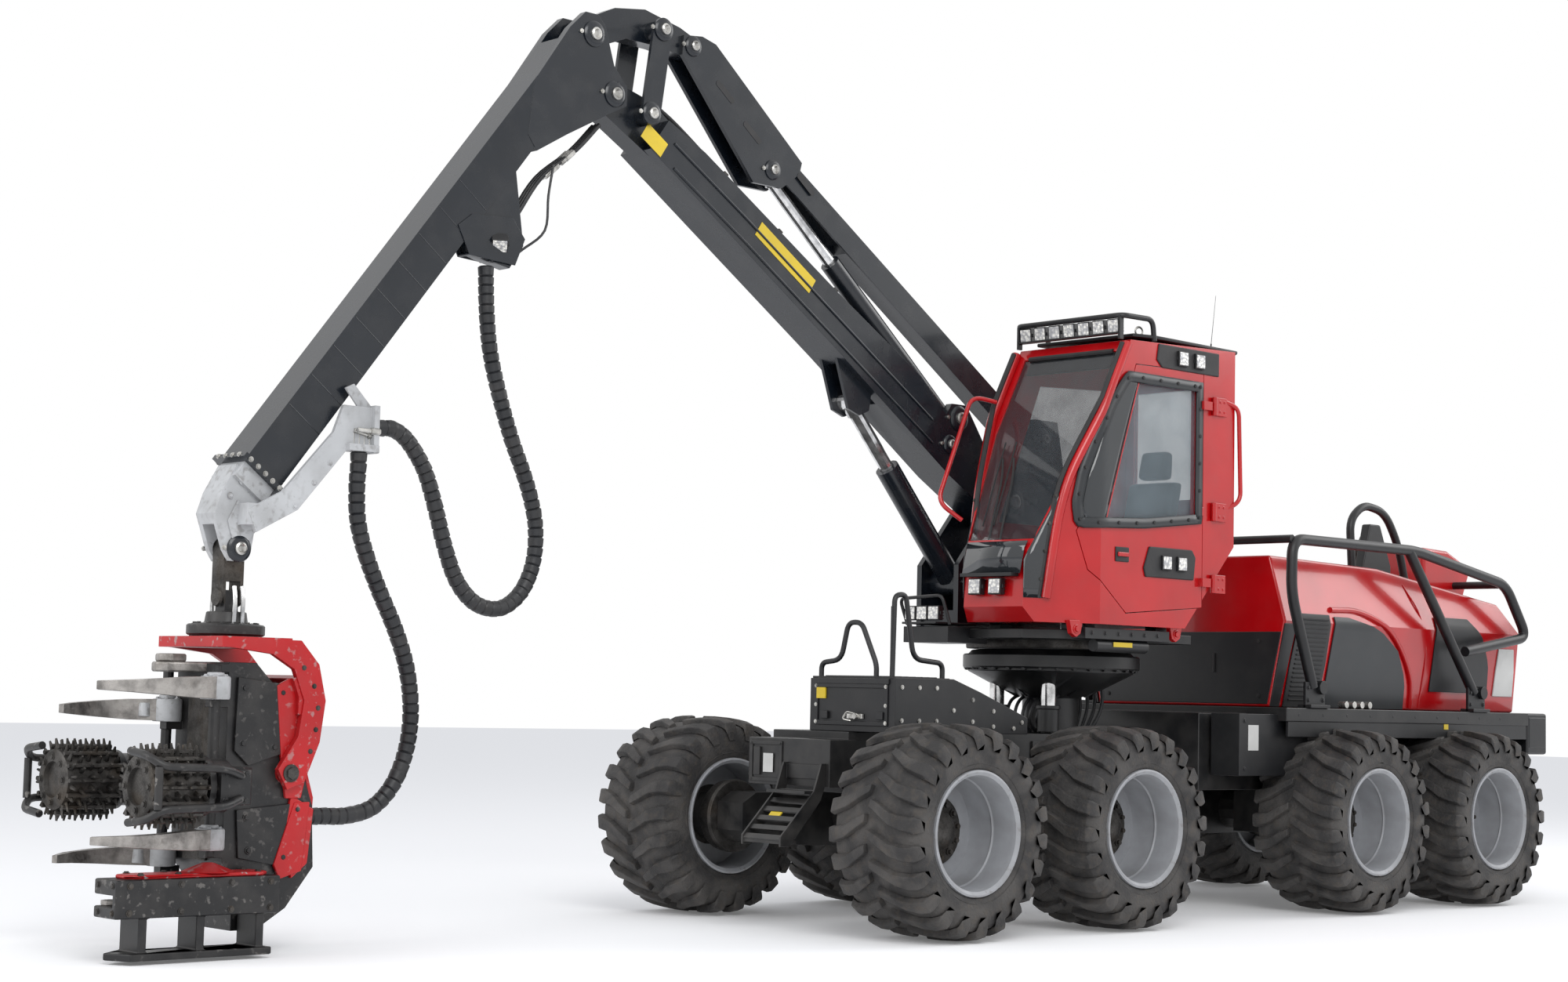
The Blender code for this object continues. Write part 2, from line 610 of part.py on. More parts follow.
def door_band(name, outer, inner):
    """The left wall between two depths, following the cab's plan."""
    wall = cab_plan(outer)[3:]
    back = cab_plan(inner)[3:]
    wall[0] = (wall[0][0] + 0.2, wall[0][1] - 0.2 * 0.45)
    back[0] = (back[0][0] + 0.2, back[0][1] - 0.2 * 0.45)
    return prism(name, wall + back[::-1], "Z", 1.9, 4.2)


def make_cab():
    shell = cut(cab_solid("cab_shell", 0), cab_solid("hollow", CAB_WALL))
    screen = screen_slab("screen_opening", 0.0, 0.10)
    rear = box("rear_opening", (CAB_REAR - 0.1, CAB_MIDDLE - 0.38, 2.95),
               (CAB_REAR + 0.1, CAB_MIDDLE + 0.38, 3.75))
    door_way = prism("door_way", DOOR_VIEW, "Y", 0.55, 1.3)
    right = prism("side_opening", SIDE_WINDOW, "Y", -0.5, CAB_MIDDLE - 0.3)
    place(cut(shell, screen, rear, door_way, right), "cab_shell", "red_paint", "slew_platform")

    glass = common(screen_slab("windscreen", -0.002, 0.09, 0.0006), cab_solid("glass_outside", 0.012))
    glass = cut(glass, cab_solid("glass_inside", 0.012 + GLASS))
    place(glass, "windscreen", "glass", "slew_platform")
    pane = prism("side_window", shrunk(SIDE_WINDOW, 0.0006), "Y", -0.5, CAB_MIDDLE - 0.3)
    pane = cut(common(pane, cab_solid("pane_outside", 0.012)), cab_solid("pane_inside", 0.012 + GLASS))
    place(pane, "side_window", "glass", "slew_platform")
    rear_pane = box("rear_window", (CAB_REAR + 0.02, CAB_MIDDLE - 0.3794, 2.9506),
                    (CAB_REAR + 0.032, CAB_MIDDLE + 0.3794, 3.7494))
    place(rear_pane, "rear_window", "glass", "slew_platform")


def make_door():
    door = common(door_band("cab_door", 0.0, CAB_WALL),
                  prism("door_view", shrunk(DOOR_VIEW, 0.006), "Y", 0.4, 1.3))
    door = cut(door, prism("window_cut", DOOR_WINDOW, "Y", 0.3, 1.4))
    leaves = [box("leaf", (-2.045, 0.87, z), (-2.015, 0.93, z + 0.06)) for z in (2.30, 3.55)]
    knuckles = [box("knuckle", (-2.115, 0.90 + GAP, z), (-2.02, 0.935, z + 0.06)) for z in (2.30, 3.55)]
    place(join(door, *leaves, *knuckles), "cab_door", "red_paint", "cab_door")
    pane = common(door_band("door_window", 0.015, 0.015 + GLASS),
                  prism("view", shrunk(DOOR_WINDOW, 0.0006), "Y", 0.3, 1.4))
    place(pane, "door_window", "glass", "cab_door")


def make_cab_fittings():
    floor = CAB_FLOOR + CAB_WALL + GAP
    seat = box("operator_seat", (-2.00, 0.15, 2.44), (-1.45, 0.65, 2.58))
    back = prism("back", [(-2.10, 2.50), (-1.95, 2.50), (-2.10, 3.30), (-2.24, 3.30)], "Y", 0.17, 0.63)
    foot = prism("foot", [(-1.76, floor), (-1.50, floor), (-1.58, 2.46), (-1.85, 2.46)], "Y", 0.28, 0.52)
    arms = [box("arm", (-1.97, y, 2.56), (-1.42, y + 0.08, 2.74)) for y in (0.13, 0.59)]
    place(join(seat, back, foot, *arms), "operator_seat", "seat_fabric", "slew_platform")
    roof = CAB_ROOF - 0.04 * (-1.55 - CAB_REAR) / (-1.24 - CAB_REAR) + GAP
    bar = rounded([(-1.50, -0.08, 4.03), (-1.50, -0.08, 4.12), (-1.20, -0.08, 4.13), (-1.20, 0.88, 4.13),
                   (-1.50, 0.88, 4.12),
                   (-1.50, 0.88, 4.03)], 0.05, 2)
    feet = [box("foot", (-1.55, y - 0.02, roof), (-1.45, y + 0.02, 4.05)) for y in (-0.08, 0.88)]
    place(join(tube("roof_light_bar", bar, 0.018), *feet), "roof_light_bar", "black_paint", "slew_platform")


# ---------------------------------------------------------------- crane
def make_pillar():
    plate = [(-1.95, PLATFORM_TOP + GAP), (-0.84, PLATFORM_TOP + GAP), (-0.84, 2.42), (-1.20, 2.85),
             (-1.22, 3.00),
             (-1.34, 3.10), (-1.55, 3.12), (-1.62, 3.52), (-1.88, 3.52), (-1.95, 3.20)]
    middle = BOOM_HALF + CLEAR + PLATE / 2
    pillar = crane_prism("crane_pillar", plate, PLATE / 2, middle)
    other = crane_prism("plate", plate, PLATE / 2, -middle)
    foot = crane_prism("foot", [(-1.93, 1.97), (-0.86, 1.97), (-0.86, 2.10), (-1.93, 2.10)], middle)
    web = crane_prism("web", [(-1.94, 2.04), (-1.89, 2.04), (-1.89, 2.62), (-1.94, 2.62)], middle)
    bosses = [rod("boss", at_pin(BOOM_ROOT, s * (BOOM_HALF + GAP)), at_pin(BOOM_ROOT, s * (BOOM_HALF + 0.02)),
                  0.09, 14)
              for s in (-1, 1)]
    pins = [cross_pin(BOOM_ROOT, middle, 0.055), cross_pin(LIFT_FOOT, middle)]
    place(join(pillar, *pins, *bosses, other, foot, web), "crane_pillar", "crane_paint", "slew_platform")


def make_main_boom():
    side_view = [(-1.56, 2.86), (-1.50, 2.75), (-1.36, 2.72), (-0.78, 3.05), (0.31, 3.79), (1.71, 4.70),
                 (2.05, 4.92),
                 (1.90, 5.13), (1.58, 4.97), (0.32, 4.19), (-0.48, 3.72), (-0.74, 3.48), (-0.80, 3.56),
                 (-0.95, 3.56),
                 (-1.20, 3.22), (-1.50, 3.02)]
    tip_view = [(1.50, 4.60), (1.95, 4.86), (2.42, 5.12), (2.46, 5.22), (2.42, 5.31), (2.33, 5.33),
                (1.98, 5.24),
                (1.50, 4.90)]
    boom = crane_prism("main_boom", side_view, BOOM_HALF)
    lugs = [crane_prism("lug", [(-0.06, 3.62), (-0.03, 3.44), (0.06, 3.40), (0.17, 3.44), (0.32, 3.86)],
                        0.0125, s * 0.075)
            for s in (-1, 1)]
    boom = join(boom, crane_prism("tip", tip_view, TIP_HALF), *lugs)
    channel = crane_prism("channel", [(-1.10, 3.70), (-1.10, 3.24), (-0.72, 3.24), (0.55, 4.20),
                                      (0.55, 4.60)], 0.09)
    pocket = crane_prism("pocket", [(-0.12, 3.40), (-0.12, 3.66), (0.02, 3.76), (0.22, 3.76), (0.30, 3.70),
                                    (0.30, 3.40)], 0.060)
    boom = cut(boom, channel, pocket, bore(BOOM_ROOT, radius=0.060), bore(ROCKER_FOOT), bore(BOOM_TIP))
    pivot = cross_pin(STICK_CYLINDER_FOOT, 0.12)
    place(join(boom, pivot), "main_boom", "crane_paint", "main_boom")


def make_cylinder(prefix, foot, tip, gland, rod_start, barrel_radius, rod_radius, eye_half, foot_half):
    """A barrel from its foot pin to the gland, and a rod from inside it to its eye."""
    body_start = between(foot, tip, 0.05)
    body_end = between(foot, tip, gland)
    barrel = eye(foot, foot_half, 0.085)
    barrel.name = f"{prefix}_cylinder"
    barrel = join(barrel, rod("body", at_pin(body_start, 0), at_pin(body_end, 0), barrel_radius, 16))
    inside = rod("inside", at_pin(between(foot, tip, 0.16), 0), at_pin(between(foot, tip, gland + 0.1), 0),
                 rod_radius + 0.003, 12)
    place(cut(barrel, inside, bore(foot)), f"{prefix}_cylinder", "crane_paint", f"{prefix}_barrel")
    length = hypot(tip[0] - foot[0], tip[1] - foot[1])
    shaft = rod(f"{prefix}_rod", at_pin(between(foot, tip, rod_start), 0),
                at_pin(between(foot, tip, length - 0.03), 0), rod_radius, 12)
    sleeve = rod("sleeve", at_pin(between(foot, tip, length - 0.10), 0),
                 at_pin(between(foot, tip, length - 0.02), 0), rod_radius + 0.012, 12)
    shaft = join(shaft, sleeve, eye(tip, eye_half, 0.06))
    place(shaft, f"{prefix}_rod", "chrome", f"{prefix}_rod")


def make_cylinders():
    make_cylinder("lift", LIFT_FOOT, LIFT_EYE, 1.04, 0.62, 0.085, 0.05, 0.0597, BOOM_HALF + CLEAR - GAP)
    make_cylinder("stick", STICK_CYLINDER_FOOT, BAR_EYE, 1.52, 0.76, 0.07, 0.042, 0.0592, 0.0897)


def capsule(first, second, radius):
    """The outline of a link with round ends about two pins."""
    angle = atan2(second[1] - first[1], second[0] - first[0])
    outline = []
    for centre, turn in ((first, pi / 2), (second, -pi / 2)):
        for step in range(5):
            a = angle + turn + step * pi / 4
            outline.append((centre[0] + radius * cos(a), centre[1] + radius * sin(a)))
    return outline


def make_links():
    plate_offset = BOOM_HALF + GAP + 0.0125
    rocker = crane_prism("rocker_link", capsule(ROCKER_FOOT, ROCKER_TOP, 0.075), 0.0125, plate_offset)
    other = crane_prism("plate", capsule(ROCKER_FOOT, ROCKER_TOP, 0.075), 0.0125, -plate_offset)
    washers = [rod("washer", at_pin(ROCKER_FOOT, s * (TIP_HALF + GAP)),
                   at_pin(ROCKER_FOOT, s * (BOOM_HALF + 0.01)), 0.07, 12)
               for s in (-1, 1)]
    pins = [cross_pin(ROCKER_FOOT, plate_offset), cross_pin(ROCKER_TOP, plate_offset)]
    place(join(rocker, other, *washers, *pins), "rocker_link", "crane_paint", "rocker")

    arch = [(2.61, 5.60), (2.58, 5.66), (2.30, 5.80), (2.05, 5.84), (1.75, 5.78), (1.59, 5.72), (1.58, 5.64),
            (1.64, 5.59),
            (1.72, 5.60), (1.95, 5.62), (2.20, 5.62), (2.46, 5.51), (2.56, 5.51)]
    link = crane_prism("top_link", arch, 0.06)
    sleeve = [rod("sleeve", at_pin(ROCKER_TOP, s * 0.05), at_pin(ROCKER_TOP, s * (BOOM_HALF)), 0.065,
                  12) for s in (-1, 1)]
    link = cut(join(link, *sleeve), bore(ROCKER_TOP), bore(BAR_TOP))
    place(link, "top_link", "crane_paint", "top_link")

    cheeks = [(1.58, 5.75), (1.74, 5.73), (1.75, 5.60), (1.10, 4.86), (0.84, 4.86), (0.68, 4.98),
              (0.66, 5.06), (1.46, 5.72)]
    shaft = [(0.80, 5.10), (0.90, 4.97), (-1.66, 3.28), (-1.74, 3.28), (-1.80, 3.36), (-1.78, 3.42)]
    bar = crane_prism("pull_bar", cheeks, 0.014, 0.0743)
    other = crane_prism("cheek", cheeks, 0.014, -0.0743)
    beam = crane_prism("beam", shaft, 0.075)
    top = crane_prism("web", [(1.46, 5.72), (1.40, 5.66), (0.70, 5.03), (0.66, 5.06)], 0.08)
    room = crane_prism("room", [(1.16, 5.10), (1.10, 4.70), (0.20, 4.20), (0.20, 4.58), (0.84, 5.06)], 0.0595)
    bar = cut(join(bar, other, beam, top), room)
    place(join(bar, cross_pin(BAR_TOP, 0.08)), "pull_bar", "crane_paint", "pull_bar")


def stick_side(start, end, low, high):
    """A rectangle along the stick: from start to end along it, from low to high across it."""
    along = (Vector(STICK_END) - Vector(STICK_START)).normalized()
    across = Vector((-along.y, along.x))
    origin = Vector(STICK_END)
    return [tuple(origin + along * a + across * b) for a,
            b in ((start, low), (end, low), (end, high), (start, high))]


def make_outer_boom():
    length = (Vector(STICK_END) - Vector(STICK_START)).length
    half = STICK_DEPTH / 2
    stick = crane_prism("outer_boom", stick_side(-length, 0, -half, half), STICK_HALF)
    head = [(2.44, 5.64), (2.50, 5.70), (2.60, 5.70), (2.72, 5.58), (2.98, 5.20), (3.02, 4.85), (2.95, 4.76),
            (2.72, 4.90),
            (2.40, 5.08), (2.25, 5.16), (2.25, 5.28), (2.36, 5.40)]
    collar = crane_prism("collar", stick_side(-0.03, 0, -half - 0.03, half + 0.03), STICK_HALF + 0.03)
    bracket = crane_prism("bracket", [(3.10, 4.66), (3.30, 4.42), (3.44, 4.22), (3.40, 4.06), (3.12, 4.01),
                                      (3.02, 4.16)],
                          0.05, STICK_HALF - 0.06)
    stick = join(stick, crane_prism("head", head, STICK_HALF + 0.004), collar, bracket)
    slot = crane_prism("slot", [(1.8, 4.6), (2.70, 4.86), (2.82, 5.0), (2.77, 5.50), (2.72, 5.9), (1.8, 5.9)],
                       TIP_HALF + CLEAR)
    pocket = crane_prism("pocket", stick_side(-EXTENSION_OVERLAP - 0.15, 0.2, -half + STICK_WALL,
                                              half - STICK_WALL),
                         STICK_HALF - STICK_WALL)
    stick = cut(stick, slot, pocket)
    washers = [rod("washer", at_pin(BOOM_TIP, s * (TIP_HALF + GAP)),
                   at_pin(BOOM_TIP, s * (STICK_HALF - 0.01)), 0.08, 12)
               for s in (-1, 1)]
    place(join(stick, cross_pin(BOOM_TIP, STICK_HALF - 0.01), *washers), "outer_boom", "crane_paint",
          "outer_boom")


def make_extension():
    wall = STICK_WALL + GAP
    half, depth = STICK_HALF - wall, STICK_DEPTH / 2 - wall
    tube_part = crane_prism("extension_boom", stick_side(-EXTENSION_OVERLAP, 0.10, -depth, depth), half)
    casting = [(4.72, 2.54), (4.93, 2.68), (5.02, 2.52), (5.06, 2.40), (4.99, 2.20), (4.95, 2.14),
               (4.86, 2.14), (4.82, 2.20),
               (4.80, 2.33), (4.66, 2.45)]
    arm = [(4.92, 2.42), (4.86, 2.30), (4.60, 2.44), (4.28, 2.815), (4.11, 2.82), (4.11, 3.06), (4.32, 3.06),
           (4.38, 2.90),
           (4.70, 2.54)]
    tip = crane_prism("casting", casting, 0.10)
    bracket = crane_prism("arm", arm, 0.015, 0.20)
    stay = crane_prism("stay", [(4.80, 2.34), (4.92, 2.34), (4.92, 2.46), (4.80, 2.46)], 0.07, 0.14)
    shelf = crane_prism("shelf", [(4.10, 2.80), (4.30, 2.80), (4.30, 2.84), (4.10, 2.84)], 0.06, 0.20)
    end = crane_prism("end", [(4.10, 2.795), (4.135, 2.795), (4.135, 3.07), (4.10, 3.07)], 0.055, 0.20)
    extension = join(tube_part, tip, bracket, stay, shelf, end)
    jaw = crane_prism("jaw", [(4.70, 1.9), (5.2, 1.9), (5.2, 2.34), (4.70, 2.34)], 0.06)
    place(join(cut(extension, jaw), cross_pin(LINK_PIN, 0.09, 0.035)), "extension_boom", "grey_casting",
          "extension_boom")


def make_link_and_rotator():
    hanger = crane_prism("crane_link", capsule(LINK_PIN, (HEAD_X, ROLL_PIN_Z + 0.01), 0.065), 0.0597)
    hanger = cut(hanger, bore(LINK_PIN, radius=0.039))
    jaw = box("jaw", (HEAD_X - 0.045, CRANE_Y - 0.1, 1.8), (HEAD_X + 0.045, CRANE_Y + 0.1, 2.03))
    hanger = cut(hanger, jaw)
    roll_pin = rod("pin", (HEAD_X - 0.06, CRANE_Y, ROLL_PIN_Z), (HEAD_X + 0.06, CRANE_Y, ROLL_PIN_Z), 0.026,
                   12)
    place(join(hanger, roll_pin), "crane_link", "crane_paint", "crane_link")
    profile = [(0, 1.86), (0.11, 1.86), (0.12, 1.80), (0.20, 1.79), (0.20, 1.72 + GAP), (0, 1.72 + GAP)]
    body = turned("rotator", profile, (HEAD_X, CRANE_Y, 0), (0, 0, 1), 20)
    ear = box("ear", (HEAD_X - 0.0447, CRANE_Y - 0.05, 1.84), (HEAD_X + 0.0447, CRANE_Y + 0.05, 1.98))
    body = cut(join(body, ear), rod("bore", (HEAD_X - 0.1, CRANE_Y, ROLL_PIN_Z),
                                    (HEAD_X + 0.1, CRANE_Y, ROLL_PIN_Z), 0.029, 12))
    place(body, "rotator", "black_paint", "rotator")


# ---------------------------------------------------------------- harvester head
def make_head_bracket():
    top = box("head_bracket", (4.68, CRANE_Y - 0.34, 1.66), (5.12, CRANE_Y + 0.34, 1.72))
    arm = [(5.06, 1.71), (4.62, 1.71), (4.50, 1.58), (4.45, 1.38), (4.48, 1.15), (4.57, 0.93), (4.68, 0.89),
           (4.74, 1.00),
           (4.62, 1.18), (4.59, 1.38), (4.66, 1.55), (4.80, 1.63), (5.06, 1.66)]
    arms = [crane_prism("arm", arm, 0.02, s * 0.32) for s in (-1, 1)]
    pins = [rod("pin", at_pin(TILT_PIN, s * 0.24), at_pin(TILT_PIN, s * 0.33), 0.04, 12) for s in (-1, 1)]
    washers = [rod("washer", at_pin(TILT_PIN, s * (HEAD_HALF + GAP)), at_pin(TILT_PIN, s * 0.31), 0.06,
                   12) for s in (-1, 1)]
    place(join(top, *arms, *pins, *washers), "head_bracket", "red_paint", "head_bracket")


KNIFE_TABLE = {                 # knife: bottom and top of its blade
    ("upper", "left"): (1.38, 1.50),
    ("upper", "right"): (1.25, 1.37),
    ("lower", "left"): (0.57, 0.68),
    ("lower", "right"): (0.455, 0.56),
}
ARM_LOW, ARM_HIGH = 0.82, 1.02
LUG = 0.045


def make_head_frame():
    side_view = [(5.03, 1.58), (4.86, 1.58), (4.70, 1.42), (4.58, 1.10), (4.47, 0.80), (4.45, 0.46),
                 (4.62, 0.24),
                 (4.80, 0.13), (4.96, 0.13), (4.96, 0.42), (5.03, 0.50)]
    frame = crane_prism("head_frame", side_view, HEAD_HALF)
    parts = []
    for side, sign in SIDES.items():
        y = CRANE_Y + sign * KNIFE_PIN_Y
        rests = [KNIFE_TABLE["upper", side][0], KNIFE_TABLE["lower", side][0], ARM_LOW, 1.57]
        column_foot = rests[1] - GAP - LUG + 0.005
        parts.append(rod("column", (KNIFE_PIN_X, y, column_foot), (KNIFE_PIN_X, y, 1.56), 0.03, 10))
        for top in rests:
            low_y, high_y = sorted((y - sign * 0.05, y + sign * 0.02))
            parts.append(box("lug", (5.01, low_y, top - GAP - LUG), (5.13, high_y, top - GAP)))
    frame = join(frame, *parts)
    holes = [rod("bore", at_pin(TILT_PIN, s * 0.18), at_pin(TILT_PIN, s * 0.40), 0.044, 12) for s in (-1, 1)]
    place(cut(frame, *holes), "head_frame", "black_paint", "head_frame")


def make_saw():
    low_y, high_y = CRANE_Y + HEAD_HALF + GAP, CRANE_Y + 0.50
    case = box("saw_box", (4.80, low_y, 0.24), (SAW_BOX_FRONT, high_y, 0.44))
    plate = [(4.84, low_y), (SAW_BOX_FRONT - 0.12, low_y), (SAW_BOX_FRONT - 0.02, low_y + 0.08),
             (SAW_BOX_FRONT - 0.10, high_y),
             (4.84, high_y)]
    case = join(case, prism("guard", plate, "Z", 0.02, 0.06),
                *[box("web", (x, low_y + 0.01, 0.04), (x + 0.05, high_y - 0.02, 0.26)) for x in (4.88, 5.24,
                        5.58)])
    slot = box("slot", (4.99, low_y - 0.1, 0.30), (SAW_BOX_FRONT + 0.1, high_y - 0.04, 0.36))
    place(cut(case, slot), "saw_box", "black_paint", "head_frame")
    pivot = PIVOTS["saw_bar"][1]
    outline = [(5.03, -0.05), (5.08, -0.07), (5.16, -0.055), (5.70, -0.055), (5.74, -0.03), (5.75, 0),
               (5.74, 0.03),
               (5.70, 0.055), (5.16, 0.055), (5.08, 0.07), (5.03, 0.05)]
    bar = prism("saw_bar", [(x, pivot[1] + y) for x, y in outline], "Z", 0.3003, 0.325)
    place(bar, "saw_bar", "worn_steel", "saw_bar")


def make_knives():
    """Curved delimbing knives, open, each swinging on its side's pin."""
    blade = [(-0.055, -0.03), (0.0, -0.062), (0.06, -0.03), (0.20, 0.045), (0.36, 0.07), (0.52, 0.03),
             (0.66, -0.07),
             (0.68, -0.05), (0.56, 0.07), (0.38, 0.135), (0.18, 0.12), (0.0, 0.062), (-0.055, 0.03)]
    for (level, side), (low, high) in KNIFE_TABLE.items():
        sign = SIDES[side]
        y = CRANE_Y + sign * KNIFE_PIN_Y
        name = f"{level}_knife_{side}"
        knife = prism(name, [(KNIFE_PIN_X + u, y + sign * v) for u, v in blade], "Z", low, high)
        hole = rod("bore", (KNIFE_PIN_X, y, low - 0.1), (KNIFE_PIN_X, y, high + 0.1), 0.034, 10)
        place(cut(knife, hole), name, "worn_steel", name)


def make_feed_gear():
    inner = ROLLER_X - ROLLER_LENGTH / 2
    for side, sign in SIDES.items():
        y = CRANE_Y + sign * KNIFE_PIN_Y
        roller_y = CRANE_Y + sign * ROLLER_Y
        plan = [(-0.055, -0.03), (0.0, -0.062), (0.07, -0.03), (0.17, 0.03), (0.17, 0.30), (0.02, 0.34),
                (-0.09, 0.26), (-0.08, 0.08)]
        arm = prism(f"feed_arm_{side}", [(KNIFE_PIN_X + u, y + sign * v) for u, v in plan], "Z", ARM_LOW,
                    ARM_HIGH)
        motor = rod("motor", (5.16, roller_y, ROLLER_Z), (inner - GAP, roller_y, ROLLER_Z), 0.14, 12)
        shaft = rod("shaft", (inner - 0.05, roller_y, ROLLER_Z), (inner + 0.10, roller_y, ROLLER_Z), 0.06, 12)
        hole = rod("bore", (KNIFE_PIN_X, y, 0.7), (KNIFE_PIN_X, y, 1.2), 0.034, 10)
        arm = cut(join(arm, motor, shaft), hole)
        place(arm, f"feed_arm_{side}", "black_paint", f"feed_arm_{side}")
        half = ROLLER_LENGTH / 2
        drum = [(0, half), (0.15, half), (ROLLER_RADIUS, half - 0.06), (ROLLER_RADIUS, 0.05 - half),
                (0.17, -half),
                (0.064, -half), (0.064, 0.12 - half), (0, 0.12 - half)]
        roller = turned(f"feed_roller_{side}", drum, (ROLLER_X, roller_y, ROLLER_Z), (1, 0, 0), 16)
        place(roller, f"feed_roller_{side}", "worn_steel", f"feed_roller_{side}")


# ---------------------------------------------------------------- hoses
HOSE_UPPER = [(3.26, 4.01), (3.25, 3.75), (3.22, 3.50), (3.15, 3.25), (3.05, 2.98), (2.93, 2.72),
              (2.86, 2.48), (2.87, 2.25),
              (2.96, 2.06), (3.12, 1.95), (3.31, 1.97), (3.46, 2.10), (3.56, 2.30), (3.64, 2.52),
              (3.73, 2.73), (3.86, 2.89),
              (3.97, 2.95), (4.04, 2.95), (4.0997, 2.95)]
HOSE_LOWER = [(4.20, 2.7993), (4.20, 2.72), (4.205, 2.60), (4.19, 2.40), (4.12, 2.20), (4.02, 2.00),
              (3.91, 1.80), (3.82, 1.58), (3.78, 1.34),
              (3.80, 1.12), (3.88, 0.92), (4.02, 0.78), (4.20, 0.735), (4.34, 0.735), (4.40, 0.735),
              (4.462, 0.735)]
HOSE_POINTS = 3                 # points put between two of the route's own


def smooth(route):
    """Points on a curve through the route's own points."""
    points = [Vector(p) for p in route]
    ends = [points[0] * 2 - points[1]] + points + [points[-1] * 2 - points[-2]]
    path = []
    for p0, p1, p2, p3 in zip(ends, ends[1:], ends[2:], ends[3:]):
        for step in range(HOSE_POINTS):
            t = step / HOSE_POINTS
            path.append(0.5 * (2 * p1 + (p2 - p0) * t + (2 * p0 - 5 * p1 + 4 * p2 - p3) * t * t + (3 * p1 - p0 - 3 * p2 + p3) * t ** 3))
    return path + [points[-1]]


def make_hoses():
    upper_y, lower_y = CRANE_Y + STICK_HALF - 0.06, CRANE_Y + 0.20
    rise = lower_y - upper_y
    count = len(HOSE_UPPER) - 3
    route = [(x, upper_y + rise * min(1, i / count), z) for i, (x, z) in enumerate(HOSE_UPPER)]
    place(tube("hose_upper", smooth(route), HOSE_RADIUS, 2), "hose_upper", "hose_rubber", "outer_boom")
    route = [(x, lower_y, z) for x, z in HOSE_LOWER]
    place(tube("hose_lower", smooth(route), HOSE_RADIUS, 2), "hose_lower", "hose_rubber", "extension_boom")


make_wheels()
make_bogie("front_bogie_axle", 0.0, FRAME_BOTTOM - GAP, "front_chassis")
make_bogie("rear_bogie_axle", REAR_BOGIE_X, 0.87 - GAP, "rear_chassis")
make_front_frame()
make_front_boxes()
make_steps()
make_handrails()
make_slew_base()
make_rear_frame()
make_hood()
make_guard_rails()
make_platform()
make_cab()
make_door()
make_cab_fittings()
make_pillar()
make_main_boom()
make_cylinders()
make_links()
make_outer_boom()
make_extension()
make_link_and_rotator()
make_head_bracket()
make_head_frame()
make_saw()
make_knives()
make_feed_gear()
make_hoses()
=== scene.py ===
"""Looks of the forestry harvester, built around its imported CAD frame. Metres, +X forward, +Z up."""

import json
import random
from math import cos, pi, radians, sin

import bmesh
import bpy
from mathutils import Matrix, Vector


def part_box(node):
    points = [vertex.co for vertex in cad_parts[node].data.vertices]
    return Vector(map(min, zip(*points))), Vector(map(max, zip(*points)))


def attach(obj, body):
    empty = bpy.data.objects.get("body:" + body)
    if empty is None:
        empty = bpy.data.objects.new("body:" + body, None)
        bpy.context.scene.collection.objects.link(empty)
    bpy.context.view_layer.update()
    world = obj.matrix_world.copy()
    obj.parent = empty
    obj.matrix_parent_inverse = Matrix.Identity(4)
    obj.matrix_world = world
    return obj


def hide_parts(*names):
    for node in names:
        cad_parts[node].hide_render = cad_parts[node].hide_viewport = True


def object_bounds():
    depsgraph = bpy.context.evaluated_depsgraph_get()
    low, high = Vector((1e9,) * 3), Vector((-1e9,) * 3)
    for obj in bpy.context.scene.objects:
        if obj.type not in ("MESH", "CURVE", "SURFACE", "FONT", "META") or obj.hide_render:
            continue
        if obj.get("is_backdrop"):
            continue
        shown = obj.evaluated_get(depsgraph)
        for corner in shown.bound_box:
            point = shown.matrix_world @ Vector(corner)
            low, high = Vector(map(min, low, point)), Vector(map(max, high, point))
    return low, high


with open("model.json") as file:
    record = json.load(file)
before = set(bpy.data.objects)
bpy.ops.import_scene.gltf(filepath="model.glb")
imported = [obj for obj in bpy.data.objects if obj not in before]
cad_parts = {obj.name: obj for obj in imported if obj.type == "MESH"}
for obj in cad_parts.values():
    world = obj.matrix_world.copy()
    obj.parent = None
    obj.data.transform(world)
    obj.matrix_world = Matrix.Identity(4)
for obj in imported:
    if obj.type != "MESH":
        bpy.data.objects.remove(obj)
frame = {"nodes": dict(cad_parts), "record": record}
cad_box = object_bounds()

# Places below have x = 0 at the front bogie's centre, as in the CAD's source; SHIFT moves them into
# the frame.
BOGIE_HALF = 0.804
wheel_low, wheel_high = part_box("wheel_front_1_left")
SHIFT = Vector(((wheel_low[0] + wheel_high[0]) / 2 - BOGIE_HALF, 0, 0))
TRACK_HALF = 1.107
WHEEL_RADIUS = 0.6685
WHEEL_Z = (wheel_low[2] + wheel_high[2]) / 2
CRANE_Y = -0.50
CAB_LEFT = 0.90
CAB_RIGHT = -0.10
DECK_TOP = 1.47
RAIL_Y = 1.02


